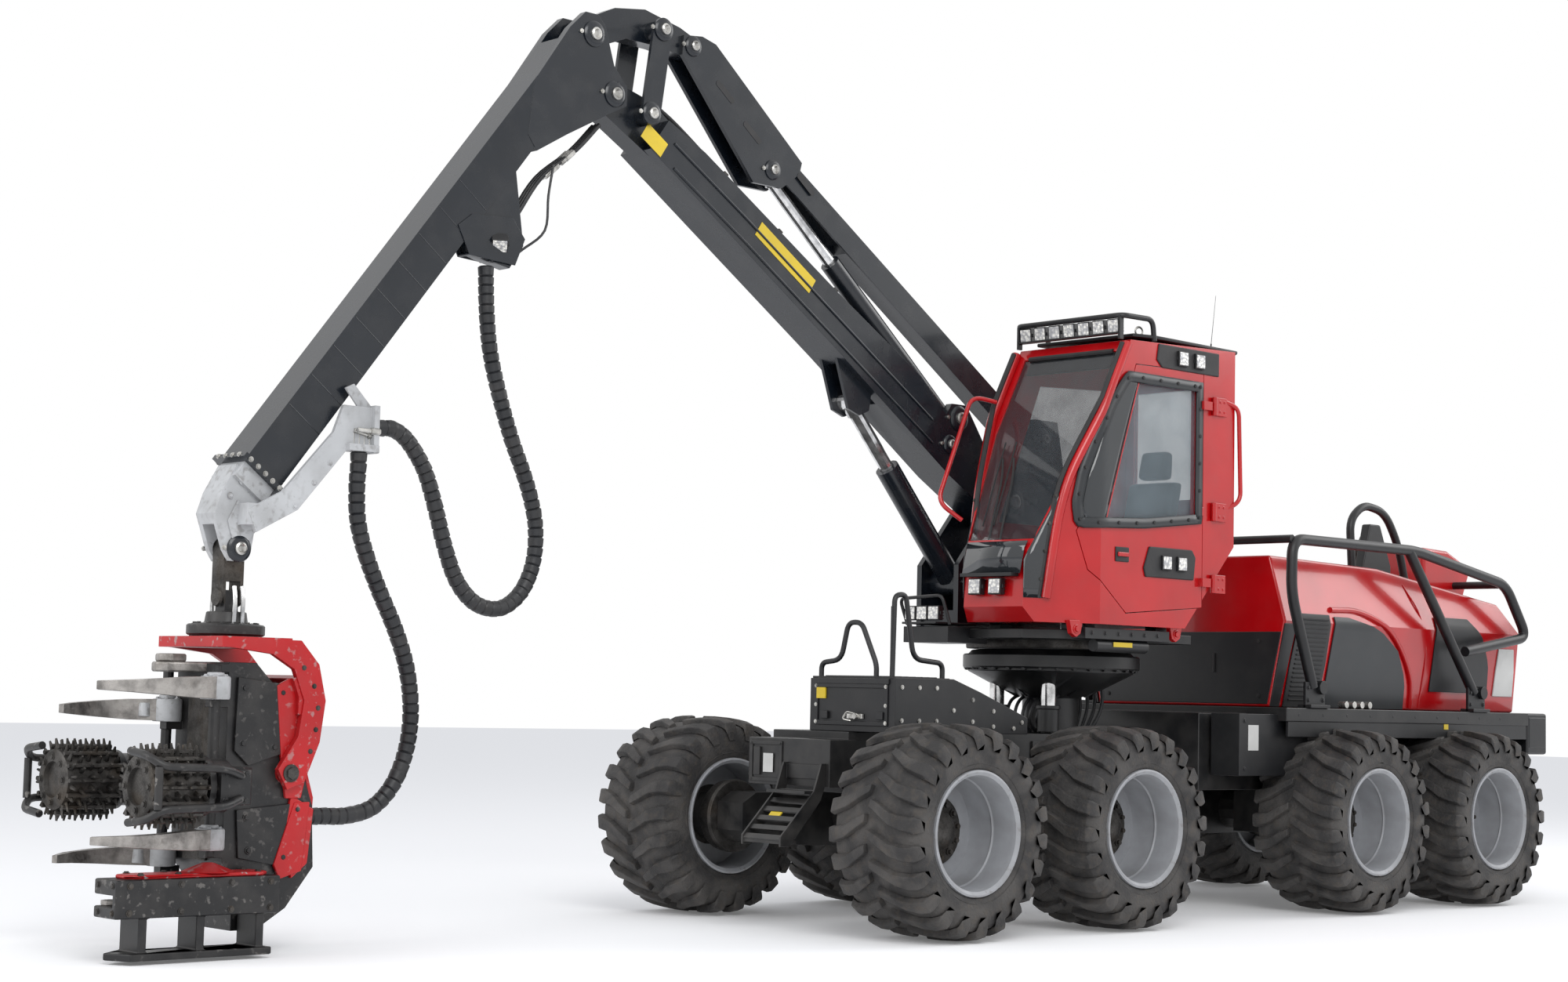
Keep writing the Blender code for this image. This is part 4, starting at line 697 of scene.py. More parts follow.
RECOLOURED = (              # node, finish
    ("windscreen", "screen"), ("side_window", "pane"), ("rear_window", "pane"), ("door_window", "pane"),
    ("lift_rod", "chrome"), ("stick_rod", "chrome"),
)


def finish_nodes():
    for node, finish, width in REFINED:
        refined(node, finish, width, 3 if width > 0.02 else 2)
    for node, finish in RECOLOURED:
        piece = frame["nodes"][node]
        piece.data.materials.clear()
        piece.data.materials.append(MATERIALS[finish])


# ---------------------------------------------------------------- cab
def work_lamp(glow, case, place, facing, size=0.085):
    """One square work lamp: a finned case with a lens in front."""
    turn = Vector(facing).to_track_quat("Y", "Z").to_matrix().to_4x4()
    place = Vector(place)
    half = size / 2

    def put(shape, low, high):
        low, high = Vector(low), Vector(high)
        middle = place + (turn @ ((low + high) / 2))
        size_of = high - low
        matrix = Matrix.Translation(middle) @ turn @ Matrix.Diagonal((*size_of, 1))
        bmesh.ops.create_cube(shape.mesh, size=1, matrix=matrix)

    put(case, (-half, -0.045, -half), (half, 0.0, half))
    for k in range(5):
        z = -half * 0.8 + k * half * 0.4
        put(case, (-half * 0.85, -0.065, z), (half * 0.85, -0.04, z + 0.006))
    put(case, (-half * 1.15, -0.03, -half * 0.25), (half * 1.15, -0.012, half * 0.25))
    put(glow, (-half * 0.86, -0.002, -half * 0.86), (half * 0.86, 0.007, half * 0.86))


def make_cab_lamps():
    glow, case = Shape(), Shape()
    for k in range(7):
        y = 0.0 + k * 0.133
        work_lamp(glow, case, (-1.175, y, 4.055), (1, 0.05, -0.12), 0.10)
    case.made("roof_lamp_cases", "satin", "slew_platform", bevel=0.006)
    glow.made("roof_lamp_lenses", "lens", "slew_platform", bevel=0.003)

    bar = Shape()
    bar.tube(rounded([(-1.52, -0.08, 3.98), (-1.50, -0.08, 4.13), (-1.17, -0.08, 4.125), (-1.17, 0.88, 4.125),
                      (-1.50, 0.88, 4.13), (-1.52, 0.88, 3.98)], 0.06), 0.019, 14)
    bar.box((-1.21, -0.06, 4.0), (-1.16, 0.86, 4.012))
    for y in (-0.06, 0.86):
        bar.box((-1.20, y - 0.01, 3.96), (-1.16, y + 0.01, 4.12))
    bar.made("roof_bar_tube", "satin", "slew_platform", ("roof_light_bar",), bevel=0.002)

    recess, glow, case = Shape(), Shape(), Shape()
    for low, high, lamps in (((-2.22, 3.80), (-1.52, 3.965), 2),):
        x0, z0 = low
        x1, z1 = high
        outline = [(x0, z0), (x1 - 0.06, z0 - 0.0), (x1, z0 + 0.05), (x1 - 0.02, z1), (x0, z1)]
        recess.prism(outline, "Y", CAB_LEFT - 0.004, CAB_LEFT + 0.012)
        for k in range(lamps):
            work_lamp(glow, case, (-1.98 + 0.19 * k, CAB_LEFT + 0.03, (z0 + z1) / 2), (0, 1, 0), 0.105)
    recess.made("side_lamp_panel", "seal", "slew_platform", bevel=0.008, segments=3)
    case.made("side_lamp_cases", "satin", "slew_platform", bevel=0.004)
    glow.made("side_lamp_lenses", "lens", "slew_platform", bevel=0.003)

    recess, glow, case = Shape(), Shape(), Shape()
    outline = [(-1.95, 2.34), (-1.42, 2.34), (-1.40, 2.40), (-1.46, 2.55), (-1.93, 2.55), (-1.97, 2.50)]
    recess.prism(outline, "Y", CAB_LEFT - 0.004, CAB_LEFT + 0.014)
    for k in range(2):
        work_lamp(glow, case, (-1.80 + 0.17 * k, CAB_LEFT + 0.03, 2.445), (0, 1, 0), 0.10)
    recess.made("door_lamp_panel", "seal", "cab_door", bevel=0.008, segments=3)
    case.made("door_lamp_cases", "satin", "cab_door", bevel=0.004)
    glow.made("door_lamp_lenses", "lens", "cab_door", bevel=0.003)

    glow, case = Shape(), Shape()
    for y in (0.28, 0.46):
        work_lamp(glow, case, (-0.375, y, 2.235), (1, 0, 0.05), 0.11)
    case.box((-0.44, 0.16, 2.30), (-0.36, 0.62, 2.325))
    case.made("nose_lamp_cases", "satin", "slew_platform", bevel=0.004)
    glow.made("nose_lamp_lenses", "lens", "slew_platform", bevel=0.003)
    shelf, glow, case = Shape(), Shape(), Shape()
    shelf.box((-0.78, -0.38, 1.985), (-0.36, -0.06, 2.0))
    shelf.box((-0.80, -0.40, 1.86), (-0.40, 0.02, 1.97))
    for k in range(3):
        work_lamp(glow, case, (-0.38, -0.32 + 0.11 * k, 2.06), (1, 0, 0), 0.10)
    shelf.tube(rounded([(-0.42, -0.38, 1.98), (-0.36, -0.40, 2.16), (-0.36, 0.0, 2.18), (-0.42, 0.02, 1.98)],
                       0.05), 0.012)
    shelf.made("lamp_shelf", "satin", "slew_platform", bevel=0.004)
    case.made("shelf_lamp_cases", "satin", "slew_platform", bevel=0.004)
    glow.made("shelf_lamp_lenses", "lens", "slew_platform", bevel=0.003)


def border(outline, width):
    """The outline and its copy moved inwards, as one ring of points each."""
    count = len(outline)
    area = sum(a[0] * b[1] - b[0] * a[1] for a, b in zip(outline, outline[1:] + outline[:1]))
    turn = 1 if area > 0 else -1
    inner = []
    for i, point in enumerate(outline):
        before, here, after = Vector(outline[i - 1]), Vector(point), Vector(outline[(i + 1) % count])
        normals = [Vector((-e.y, e.x)) * turn for e in ((here - before).normalized(),
                                                        (after - here).normalized())]
        bisector = (normals[0] + normals[1]).normalized()
        inner.append(here + bisector * width / max(bisector.dot(normals[0]), 0.3))
    return [Vector(p) for p in outline], inner


def bordered(shape, outline, width, low, high, axis="Y"):
    """A flat ring of that width inside an outline."""
    outer, inner = border(outline, width)
    order = {"Y": lambda p, w: (p.x, w, p.y), "X": lambda p, w: (w, p.x, p.y)}[axis]
    rings = [[shape.mesh.verts.new(order(p, w)) for p in ring] for ring,
             w in ((outer, low), (outer, high), (inner, high), (inner, low))]
    faces = []
    for first, second in zip(rings, rings[1:] + rings[:1]):
        for k in range(len(outer)):
            m = (k + 1) % len(outer)
            faces.append(shape.mesh.faces.new((first[k], first[m], second[m], second[k])))
    bmesh.ops.recalc_face_normals(shape.mesh, faces=faces)


DOOR_PANE = [(-2.03, 3.74), (-2.03, 2.74), (-1.40, 2.67), (-0.80, 2.64), (-0.76, 2.66), (-0.74, 2.81),
             (-0.78, 3.03), (-0.87, 3.27),
             (-1.00, 3.51), (-1.12, 3.66), (-1.20, 3.74)]
PILLAR = [(-1.20, 3.93), (-1.05, 3.65), (-0.885, 3.32), (-0.735, 3.00), (-0.665, 2.745), (-0.635, 2.57),
          (-0.605, 2.35), (-0.58, 2.16)]


def side_y(x):
    """The cab's left side at that place: straight behind the corner, drawn in ahead of it."""
    return CAB_LEFT - max(0.0, x + 0.95) * 0.24 / 0.53


def draped(shape, first, second, lift, side=1, columns=6):
    """A sheet on the cab's side between two lines of as many points."""
    rows = []
    for (x0, z0), (x1, z1) in zip(first, second):
        row = []
        for k in range(columns + 1):
            x, z = x0 + (x1 - x0) * k / columns, z0 + (z1 - z0) * k / columns
            row.append((x, 0.40 + side * (side_y(x) + lift - 0.40), z))
        rows.append(row)
    return shape.grid(rows)


def resampled(line, count):
    """The line cut into steps of one length."""
    points = [Vector((x, 0, z)) for x, z in line]
    reach = [0.0]
    for a, b in zip(points, points[1:]):
        reach.append(reach[-1] + (b - a).length)
    result = []
    for k in range(count + 1):
        at = reach[-1] * k / count
        i = max(n for n in range(len(points) - 1) if reach[n] <= at + 1e-9)
        t = (at - reach[i]) / (reach[i + 1] - reach[i])
        point = points[i].lerp(points[i + 1], min(1, t))
        result.append((point.x, point.z))
    return result


def make_cab_skin():
    outer = resampled(DOOR_PANE + DOOR_PANE[:1], 90)
    inner = [(p.x, p.y) for p in border(outer[:-1], 0.07)[1]]
    ring = draped(Shape(), outer, inner + inner[:1], 0.012, columns=2)
    ring.made("door_window_border", "plate_grey", "cab_door", thickness=0.014)
    middle = [(p.x, p.y) for p in border(outer[:-1], 0.035)[1]]
    bolts = Shape()
    bolts.bolts([(x, side_y(x) + 0.019, z) for x, z in middle[::4]], (0.15, 1, 0), 0.010, 0.008)
    bolts.made("door_window_bolts", "seal", "cab_door")
    ahead = [(x, z) for x, z in inner if x > -1.42 and z > 2.66]
    behind = [(min(x, -1.00 - 0.30 * max(0.0, z - 2.68) / 0.88 + 0.02), z) for x, z in ahead]
    draped(Shape(), ahead, behind, 0.006).made("door_window_front", "dark_pane", "cab_door", thickness=0.004)

    trim = Shape()
    trim.box((-1.24, CAB_LEFT - 0.004, 2.43), (-1.10, CAB_LEFT + 0.010, 2.53))
    trim.made("door_handle_recess", "seal", "cab_door", bevel=0.006, segments=3)
    handle = Shape().box((-1.225, CAB_LEFT + 0.008, 2.465), (-1.115, CAB_LEFT + 0.022, 2.495))
    handle.made("door_handle", "red", "cab_door", bevel=0.006, segments=3)
    hinges = Shape()
    for z in (2.29, 2.80, 3.55):
        hinges.box((-2.30, CAB_LEFT - 0.002, z - 0.03), (-2.18, CAB_LEFT + 0.022, z + 0.10))
        hinges.rod((-2.16, CAB_LEFT + 0.02, z - 0.03), (-2.16, CAB_LEFT + 0.02, z + 0.10), 0.018, sides=16)
        hinges.bolts([(-2.27, CAB_LEFT + 0.022, z + dz) for dz in (0.0, 0.07)] + [(-2.22, CAB_LEFT + 0.022,
                z + dz) for dz in (0.0, 0.07)],
                     (0, 1, 0), 0.009, 0.007)
    hinges.made("door_hinges", "red", "slew_platform", bevel=0.004)
    straps = Shape()
    for z in (2.80, 3.55):
        straps.box((-2.05, CAB_LEFT + 0.002, z), (-1.98, CAB_LEFT + 0.018, z + 0.06))
    straps.made("door_straps", "red", "cab_door", bevel=0.004)

    rails = Shape()
    rails.tube(rounded([(-2.30, CAB_LEFT - 0.02, 3.64), (-2.44, CAB_LEFT + 0.02, 3.60),
                        (-2.47, CAB_LEFT + 0.02, 2.93),
                        (-2.34, CAB_LEFT - 0.02, 2.86)], 0.09), 0.016)
    rails.tube(rounded([(-0.92, CAB_RIGHT + 0.06, 3.56), (-0.74, CAB_RIGHT - 0.01, 3.59),
                        (-0.36, CAB_RIGHT + 0.04, 2.82),
                        (-0.50, 0.04, 2.70)], 0.09), 0.016)
    rails.made("cab_grab_rails", "red", "slew_platform")

    line = resampled([(p.x, p.z) for p in smooth([(x, 0, z) for x, z in PILLAR], 4)], 30)
    pillars, seal, glass_sides, bolts = Shape(), Shape(), Shape(), Shape()
    for side in (1, -1):
        put = lambda x, z, lift: (x, 0.40 + side * (side_y(x) + lift - 0.40), z)
        pillars.tube([put(x, z, 0.004) for x, z in line], 0.034, 12)
        seal.tube([put(x + 0.042, z, -0.006) for x, z in line], 0.018, 8)
        low = [(x, z) for x, z in line if z < 3.02]
        front = [(min(-0.43, max(x, -1.24 + 0.78 * (3.96 - z) / 1.48)), z) for x, z in low]
        draped(glass_sides, low, front, 0.006, side, 3)
        bolts.bolts([put(x + 0.055, z, 0.012) for x, z in low[2::3]], (0.5, side, 0.1), 0.009, 0.008)
    pillars.made("windscreen_pillars", "red", "slew_platform")
    seal.tube([(-1.20, 0.02, 3.885), (-1.20, 0.78, 3.885)], 0.018, 8)
    seal.made("windscreen_seal", "seal", "slew_platform")
    bolts.made("windscreen_bolts", "dark_steel", "slew_platform")
    glass_sides.grid([[(-0.405, 0.14, 2.32), (-0.405, 0.66, 2.32)],
                      [(-0.448, 0.14, 2.495), (-0.448, 0.66, 2.495)],
                      [(-0.470, 0.13, 2.540), (-0.470, 0.67, 2.540)]])
    glass_sides.made("windscreen_sides", "dark_pane", "slew_platform", thickness=0.005)
    wipers = Shape()
    for y in (0.16, 0.26):
        wipers.tube(smooth([(-0.50, y + 0.12, 2.50), (-0.58, y + 0.10, 2.72), (-0.72, y + 0.04, 2.98),
                            (-0.80, y - 0.02, 3.14)], 4), 0.008, 8)
        wipers.tube([(-0.56, y + 0.02, 2.66), (-0.86, y - 0.05, 3.26)], 0.006, 6)
    wipers.rod((-0.46, 0.26, 2.47), (-0.50, 0.26, 2.53), 0.022)
    wipers.rod((-0.46, 0.38, 2.47), (-0.50, 0.38, 2.53), 0.022)
    wipers.made("wipers", "seal", "slew_platform")

    roof = Shape()
    roof.prism([(-2.62, 0.05), (-2.60, 0.75), (-2.50, 0.86), (-1.52, 0.895), (-1.34, 0.84), (-1.34, -0.04),
                (-2.50, -0.06)], "Z", 3.995, 4.022)
    roof.made("roof_visor", "satin", "slew_platform", bevel=0.010, segments=3)
    top = Shape()
    top.turned([(0.030, 0.008), (0.038, 0.0), (0.030, -0.008), (0.022, 0.0)], (-1.55, 0.72, 4.068),
               (0.3, 1, 0), 24)
    top.rod((-1.55, 0.72, 4.0), (-1.55, 0.72, 4.035), 0.012)
    top.made("roof_eyebolt", "zinc", "slew_platform")
    aerial = Shape().rod((-2.52, 0.60, 4.02), (-2.53, 0.60, 4.10), 0.008, 0.005)
    aerial.rod((-2.53, 0.60, 4.10), (-2.58, 0.60, 4.46), 0.0022, 0.0012, 6)
    aerial.made("aerial", "seal", "slew_platform")
    visor = Shape().box((-1.21, 0.02, 3.76), (-1.19, 0.78, 3.88), Matrix.Rotation(radians(-28), 4, "Y"))
    visor.made("sun_blind", "seal", "slew_platform")
    under = Shape()
    under.box((-1.75, 0.74, 1.90), (-0.85, 0.86, 1.975))
    under.rod((-1.55, 0.80, 1.86), (-1.00, 0.80, 1.86), 0.045)
    under.bolts([(-1.62 + 0.14 * k, 0.86, 1.94) for k in range(6)], (0, 1, 0), 0.012, 0.010)
    under.made("cab_mount_beam", "satin", "slew_platform", bevel=0.004)
    lugs = Shape()
    for x in (-1.85, -0.78):
        lugs.prism([(x - 0.07, 2.02), (x + 0.07, 2.02), (x + 0.045, 1.93), (x, 1.905), (x - 0.045, 1.93)],
                   "Y", 0.80, 0.84)
        lugs.bolts([(x, 0.84, 1.96)], (0, 1, 0), 0.022, 0.016)
    lugs.made("cab_mount_lugs", "red", "slew_platform", bevel=0.004)
    Shape().box((-1.36, 0.846, 1.852), (-1.16, 0.849, 1.884)).made("beam_plate", "yellow", "slew_platform")


def make_seat():
    cushion, back, rest = Shape(), Shape(), Shape()
    cushion.box((-1.98, 0.17, 2.46), (-1.47, 0.63, 2.575))
    back.prism([(-2.09, 2.52), (-1.96, 2.52), (-2.10, 3.06), (-2.22, 3.06)], "Y", 0.19, 0.61)
    rest.prism([(-2.13, 3.08), (-2.08, 3.09), (-2.13, 3.29), (-2.22, 3.28), (-2.21, 3.08)], "Y", 0.28, 0.52)
    for name, shape, fill in (("seat_cushion", cushion, 0.9), ("seat_back", back, 0.9),
                              ("head_rest", rest, 0.9)):
        piece = shape.made(name, "seat", "slew_platform",
                           ("operator_seat",) if name == "seat_cushion" else (), bevel=0.035, segments=4)
        swell = piece.modifiers.new("swell", "SUBSURF")
        swell.levels = swell.render_levels = 1
    base = Shape()
    base.prism([(-1.76, 2.053), (-1.50, 2.053), (-1.58, 2.45), (-1.85, 2.45)], "Y", 0.28, 0.52)
    for y in (0.13, 0.59):
        base.box((-1.95, y, 2.60), (-1.44, y + 0.08, 2.72))
        base.rod((-1.50, y + 0.04, 2.70), (-1.48, y + 0.04, 2.735), 0.02, 0.03)
    base.made("seat_base_and_arms", "seal", "slew_platform", bevel=0.015, segments=3)


# ---------------------------------------------------------------- crane details
PINS = (                    # x, z, offset of its head, radius, body
    (2.35, 5.22, 0.146, 0.055, "outer_boom"), (2.53, 5.57, 0.146, 0.055, "outer_boom"),
    (2.07, 5.14, 0.178, 0.050, "rocker"),
    (1.99, 5.70, 0.178, 0.050, "rocker"), (1.66, 5.67, 0.090, 0.045, "pull_bar"),
    (0.93, 4.97, 0.090, 0.045, "pull_bar"),
    (-0.87, 3.46, 0.152, 0.060, "main_boom"), (-0.78, 3.27, 0.152, 0.045, "main_boom"),
    (-1.40, 2.90, 0.203, 0.075, "slew_platform"),
    (-1.00, 2.30, 0.203, 0.055, "slew_platform"), (-1.72, 3.38, 0.203, 0.050, "slew_platform"),
    (4.90, 2.21, 0.103, 0.050, "extension_boom"), (4.78, 2.42, 0.103, 0.030, "extension_boom"),
)


def make_pin_heads():
    by_body = {}
    for x, z, offset, radius, body in PINS:
        shape = by_body.setdefault(body, (Shape(), Shape()))
        for sign in (-1, 1):
            at = Vector(crane_point(x, z, sign * offset))
            out = Vector((0, sign, 0))
            shape[0].turned([(0.0, -0.01), (radius * 1.5, -0.01), (radius * 1.5, 0.006),
                             (radius * 1.25, 0.016), (radius, 0.018),
                             (0.0, 0.018)], at, out, 32)
            shape[1].turned([(0.0, 0.01), (radius * 0.72, 0.01), (radius * 0.72, 0.030),
                             (radius * 0.5, 0.036), (radius * 0.3, 0.024),
                             (0.0, 0.024)], at, out, 28)
            shape[1].bolts([at + Vector((radius * 1.9, sign * 0.004, 0))], out, 0.010, 0.012)
    for body, (collar, core) in by_body.items():
        collar.made(f"{body}_pin_collars", "crane", body)
        core.made(f"{body}_pin_heads", "zinc", body)


def make_boom_details():
    ribs = Shape()
    line = [(1.85, 4.90), (1.20, 4.50), (0.30, 3.92), (-0.60, 3.34)]
    for sign in (-1, 1):
        y = sign * 0.152
        ribs.tube([crane_point(x, z + 0.085, y) for x, z in line], 0.009, 8)
        ribs.tube([crane_point(x, z - 0.075, y) for x, z in line], 0.009, 8)
    ribs.made("main_boom_welds", "crane", "main_boom")
    pipes = Shape()
    for k in range(3):
        lift = 0.02 + 0.035 * (k == 1)
        route = [crane_point(-0.62, 3.62, 0.05 * (k - 1)), crane_point(0.30, 4.21 + lift, 0.05 * (k - 1)),
                 crane_point(1.30, 4.83 + lift, 0.05 * (k - 1)),
                 crane_point(1.74, 5.11 + lift, 0.05 * (k - 1)),
                 crane_point(1.95, 5.22 + lift, 0.05 * (k - 1))]
        pipes.tube(smooth(route, 4), 0.013, 10)
    pipes.made("boom_pipes", "seal", "main_boom")
    clips = Shape()
    for x, z in ((0.32, 4.20), (0.85, 4.53), (1.35, 4.84)):
        clips.box(crane_point(x - 0.02, z, -0.09), crane_point(x + 0.02, z + 0.05, 0.09),
                  Matrix.Rotation(-0.56, 4, "Y"))
    clips.made("boom_pipe_clips", "dark_steel", "main_boom", bevel=0.003)
    # Dark sheets on both sides of the pull bar where its slots are: painted shade standing in for the open slots.
    slot_shadows = Shape()
    for x, z in ((1.37, 5.42), (1.12, 5.19), (0.62, 4.92)):
        outline = []
        for k in range(16):
            a = 2 * pi * k / 16
            u, v = 0.075 * (1 if cos(a) > 0 else -1) + 0.022 * cos(a), 0.022 * sin(a)
            outline.append((x + u * 0.80 - v * 0.60, z + u * 0.60 + v * 0.80))
        for sign in (-1, 1):
            slot_shadows.prism(outline, "Y", CRANE_Y + sign * 0.0885, CRANE_Y + sign * 0.0905)
    slot_shadows.made("pull_bar_slot_shade", "seal", "pull_bar")
    bands = Shape()
    start, end = Vector((2.86, 5.14)), Vector((4.72, 2.72))
    along = (end - start).normalized()
    across = Vector((-along.y, along.x))
    for k in range(9):
        centre = start + (end - start) * (0.30 + 0.075 * k)
        a, b = centre - across * 0.128, centre + across * 0.128
        bands.tube([crane_point(a.x, a.y, 0.1405), crane_point(b.x, b.y, 0.1405)], 0.0022, 6)
    bands.made("outer_boom_seams", "crane", "outer_boom")
    for name, x, z, w, h, body, y in (("boom_plate", 2.02, 4.98, 0.10, 0.055, "main_boom", 0.1515),
                                      ("strip_plate", 0.85, 4.38, 0.30, 0.055, "main_boom", 0.1515)):
        turn = Matrix.Rotation(-0.577, 4, "Y")
        Shape().box(crane_point(x - w, z - h, y - 0.001), crane_point(x + w, z + h, y + 0.0015),
                    turn).made(name, "yellow", body)
    ring = Shape()
    for sign in (-1, 1):
        for k in range(5):
            p = Vector((4.80, 2.62)) - along * 0.014 + across * (-0.12 + 0.06 * k)
            ring.bolts([crane_point(p.x, p.y, sign * 0.171)], (0, sign, 0), 0.011, 0.010)
    for sign in (-1, 1):
        for k in range(4):
            p = Vector((4.80, 2.62)) - along * 0.014 + across * sign * 0.166
            ring.bolts([crane_point(p.x, p.y, -0.11 + 0.073 * k)], (sign * across.x, 0, sign * across.y),
                       0.011, 0.010)
    ring.made("outer_boom_end_bolts", "zinc", "outer_boom")
    stick_hoses = Shape()
    for k in range(3):
        y = 0.02 + 0.032 * k
        stick_hoses.tube(smooth([crane_point(2.42, 5.02, y), crane_point(2.60, 4.83, y),
                                 crane_point(2.86, 4.62, y),
                                 crane_point(3.04, 4.36, y), crane_point(3.20, 4.12, y)], 5), 0.0145, 12)
    stick_hoses.tube(smooth([crane_point(2.80, 4.70, 0.12), crane_point(2.84, 4.50, 0.13),
                             crane_point(2.86, 4.28, 0.13),
                             crane_point(3.02, 4.14, 0.12), crane_point(3.12, 4.06, 0.10)], 5), 0.008, 10)
    stick_hoses.made("stick_hoses", "hose", "outer_boom")
    fittings = Shape()
    for k in range(3):
        y = 0.02 + 0.032 * k
        for x, z in ((2.62, 4.815), (2.74, 4.71)):
            step = Vector((0.060, -0.055))
            fittings.rod(crane_point(x, z, y), crane_point(x + step.x, z + step.y, y), 0.021, sides=6)
            fittings.rod(crane_point(x + step.x, z + step.y, y),
                         crane_point(x + 1.6 * step.x, z + 1.6 * step.y, y), 0.017, sides=16)
    fittings.made("stick_hose_fittings", "zinc", "outer_boom", bevel=0.002)
    guard = Shape()
    plate = [(3.02, 4.20), (3.09, 4.03), (3.43, 4.05), (3.52, 4.22), (3.42, 4.30), (3.12, 4.32)]
    for y in (0.02, 0.14):
        guard.prism(plate, "Y", CRANE_Y + y, CRANE_Y + y + 0.008)
    for x, z in ((3.10, 4.05), (3.26, 4.045), (3.42, 4.06), (3.48, 4.20)):
        guard.rod(crane_point(x, z, 0.02), crane_point(x, z, 0.145), 0.010)
    guard.made("hose_guard", "crane", "outer_boom", bevel=0.003)
    glow, case = Shape(), Shape()
    work_lamp(glow, case, crane_point(3.22, 4.13, 0.16), (0.4, 0.6, -0.9), 0.10)
    case.made("boom_lamp_case", "satin", "outer_boom", bevel=0.004)
    glow.made("boom_lamp_lens", "lens", "outer_boom", bevel=0.002)


def make_extension_details():
    ends = Shape()
    for k in range(4):
        y = 0.145 + 0.036 * k
        ends.rod(crane_point(4.10, 2.90 + 0.02 * (k % 2), y), crane_point(4.16, 2.90 + 0.02 * (k % 2), y),
                 0.022, sides=6)
        ends.rod(crane_point(4.16, 2.90 + 0.02 * (k % 2), y), crane_point(4.25, 2.92, y), 0.014, sides=14)
        ends.rod(crane_point(4.14 + 0.035 * k, 2.84, 0.20), crane_point(4.14 + 0.035 * k, 2.91, 0.20), 0.017,
                 sides=6)
    ends.made("tip_fittings", "zinc", "extension_boom", bevel=0.002)
    straps = Shape()
    straps.prism([(4.09, 2.84), (4.13, 2.84), (4.22, 3.07), (4.30, 3.16), (4.24, 3.19), (4.12, 3.07)], "Y",
                 CRANE_Y + 0.175, CRANE_Y + 0.19)
    for x, z in ((4.62, 2.46), (4.50, 2.60), (4.40, 2.72)):
        straps.bolts([crane_point(x, z, 0.215)], (0, 1, 0), 0.012, 0.010)
    straps.made("tip_bracket_plate", "casting", "extension_boom", bevel=0.003)
    webs = Shape()
    for sign in (-1, 1):
        webs.prism([(4.76, 2.36), (4.92, 2.48), (4.98, 2.36), (4.94, 2.24), (4.84, 2.26)], "Y",
                   CRANE_Y + sign * 0.100,
                   CRANE_Y + sign * 0.112)
        webs.bolts([crane_point(x, z, sign * 0.112) for x, z in ((4.80, 2.52), (4.90, 2.58), (4.97, 2.50))],
                   (0, sign, 0), 0.012, 0.010)
    webs.made("tip_casting_webs", "casting", "extension_boom", bevel=0.008)


def make_link_details():
    pipes = Shape()
    for sign in (-1, 1):
        for k in range(2):
            x = 4.87 + 0.05 * k
            pipes.tube(smooth([(x, CRANE_Y + sign * 0.115, 1.80), (x, CRANE_Y + sign * 0.12, 1.92),
                               (x, CRANE_Y + sign * 0.105, 2.00)], 5), 0.013, 12)
    pipes.made("rotator_hoses", "chrome", "rotator")
    collar = Shape()
    collar.turned([(0.110, 1.79), (0.205, 1.79), (0.215, 1.782), (0.215, 1.735), (0.205, 1.727),
                   (0.110, 1.727)], (4.90, CRANE_Y, 0), (0, 0, 1), 48)
    collar.bolts([(4.90 + 0.17 * cos(2 * pi * k / 14), CRANE_Y + 0.17 * sin(2 * pi * k / 14),
                   1.79) for k in range(14)], (0, 0, 1), 0.012, 0.012)
    collar.made("rotator_ring", "head_black", "rotator", bevel=0.002)
    cheeks = Shape()
    for sign in (-1, 1):
        cheeks.turned([(0.0, 0.0), (0.068, 0.0), (0.060, 0.016), (0.034, 0.020), (0.0, 0.020)],
                      (4.90, CRANE_Y + sign * 0.060, 2.21), (0, sign, 0), 28)
        cheeks.turned([(0.0, 0.0), (0.055, 0.0), (0.048, 0.014), (0.0, 0.016)],
                      (4.90 + sign * 0.060, CRANE_Y, 1.94), (sign, 0, 0), 28)
    cheeks.made("link_bosses", "dark_steel", "crane_link")


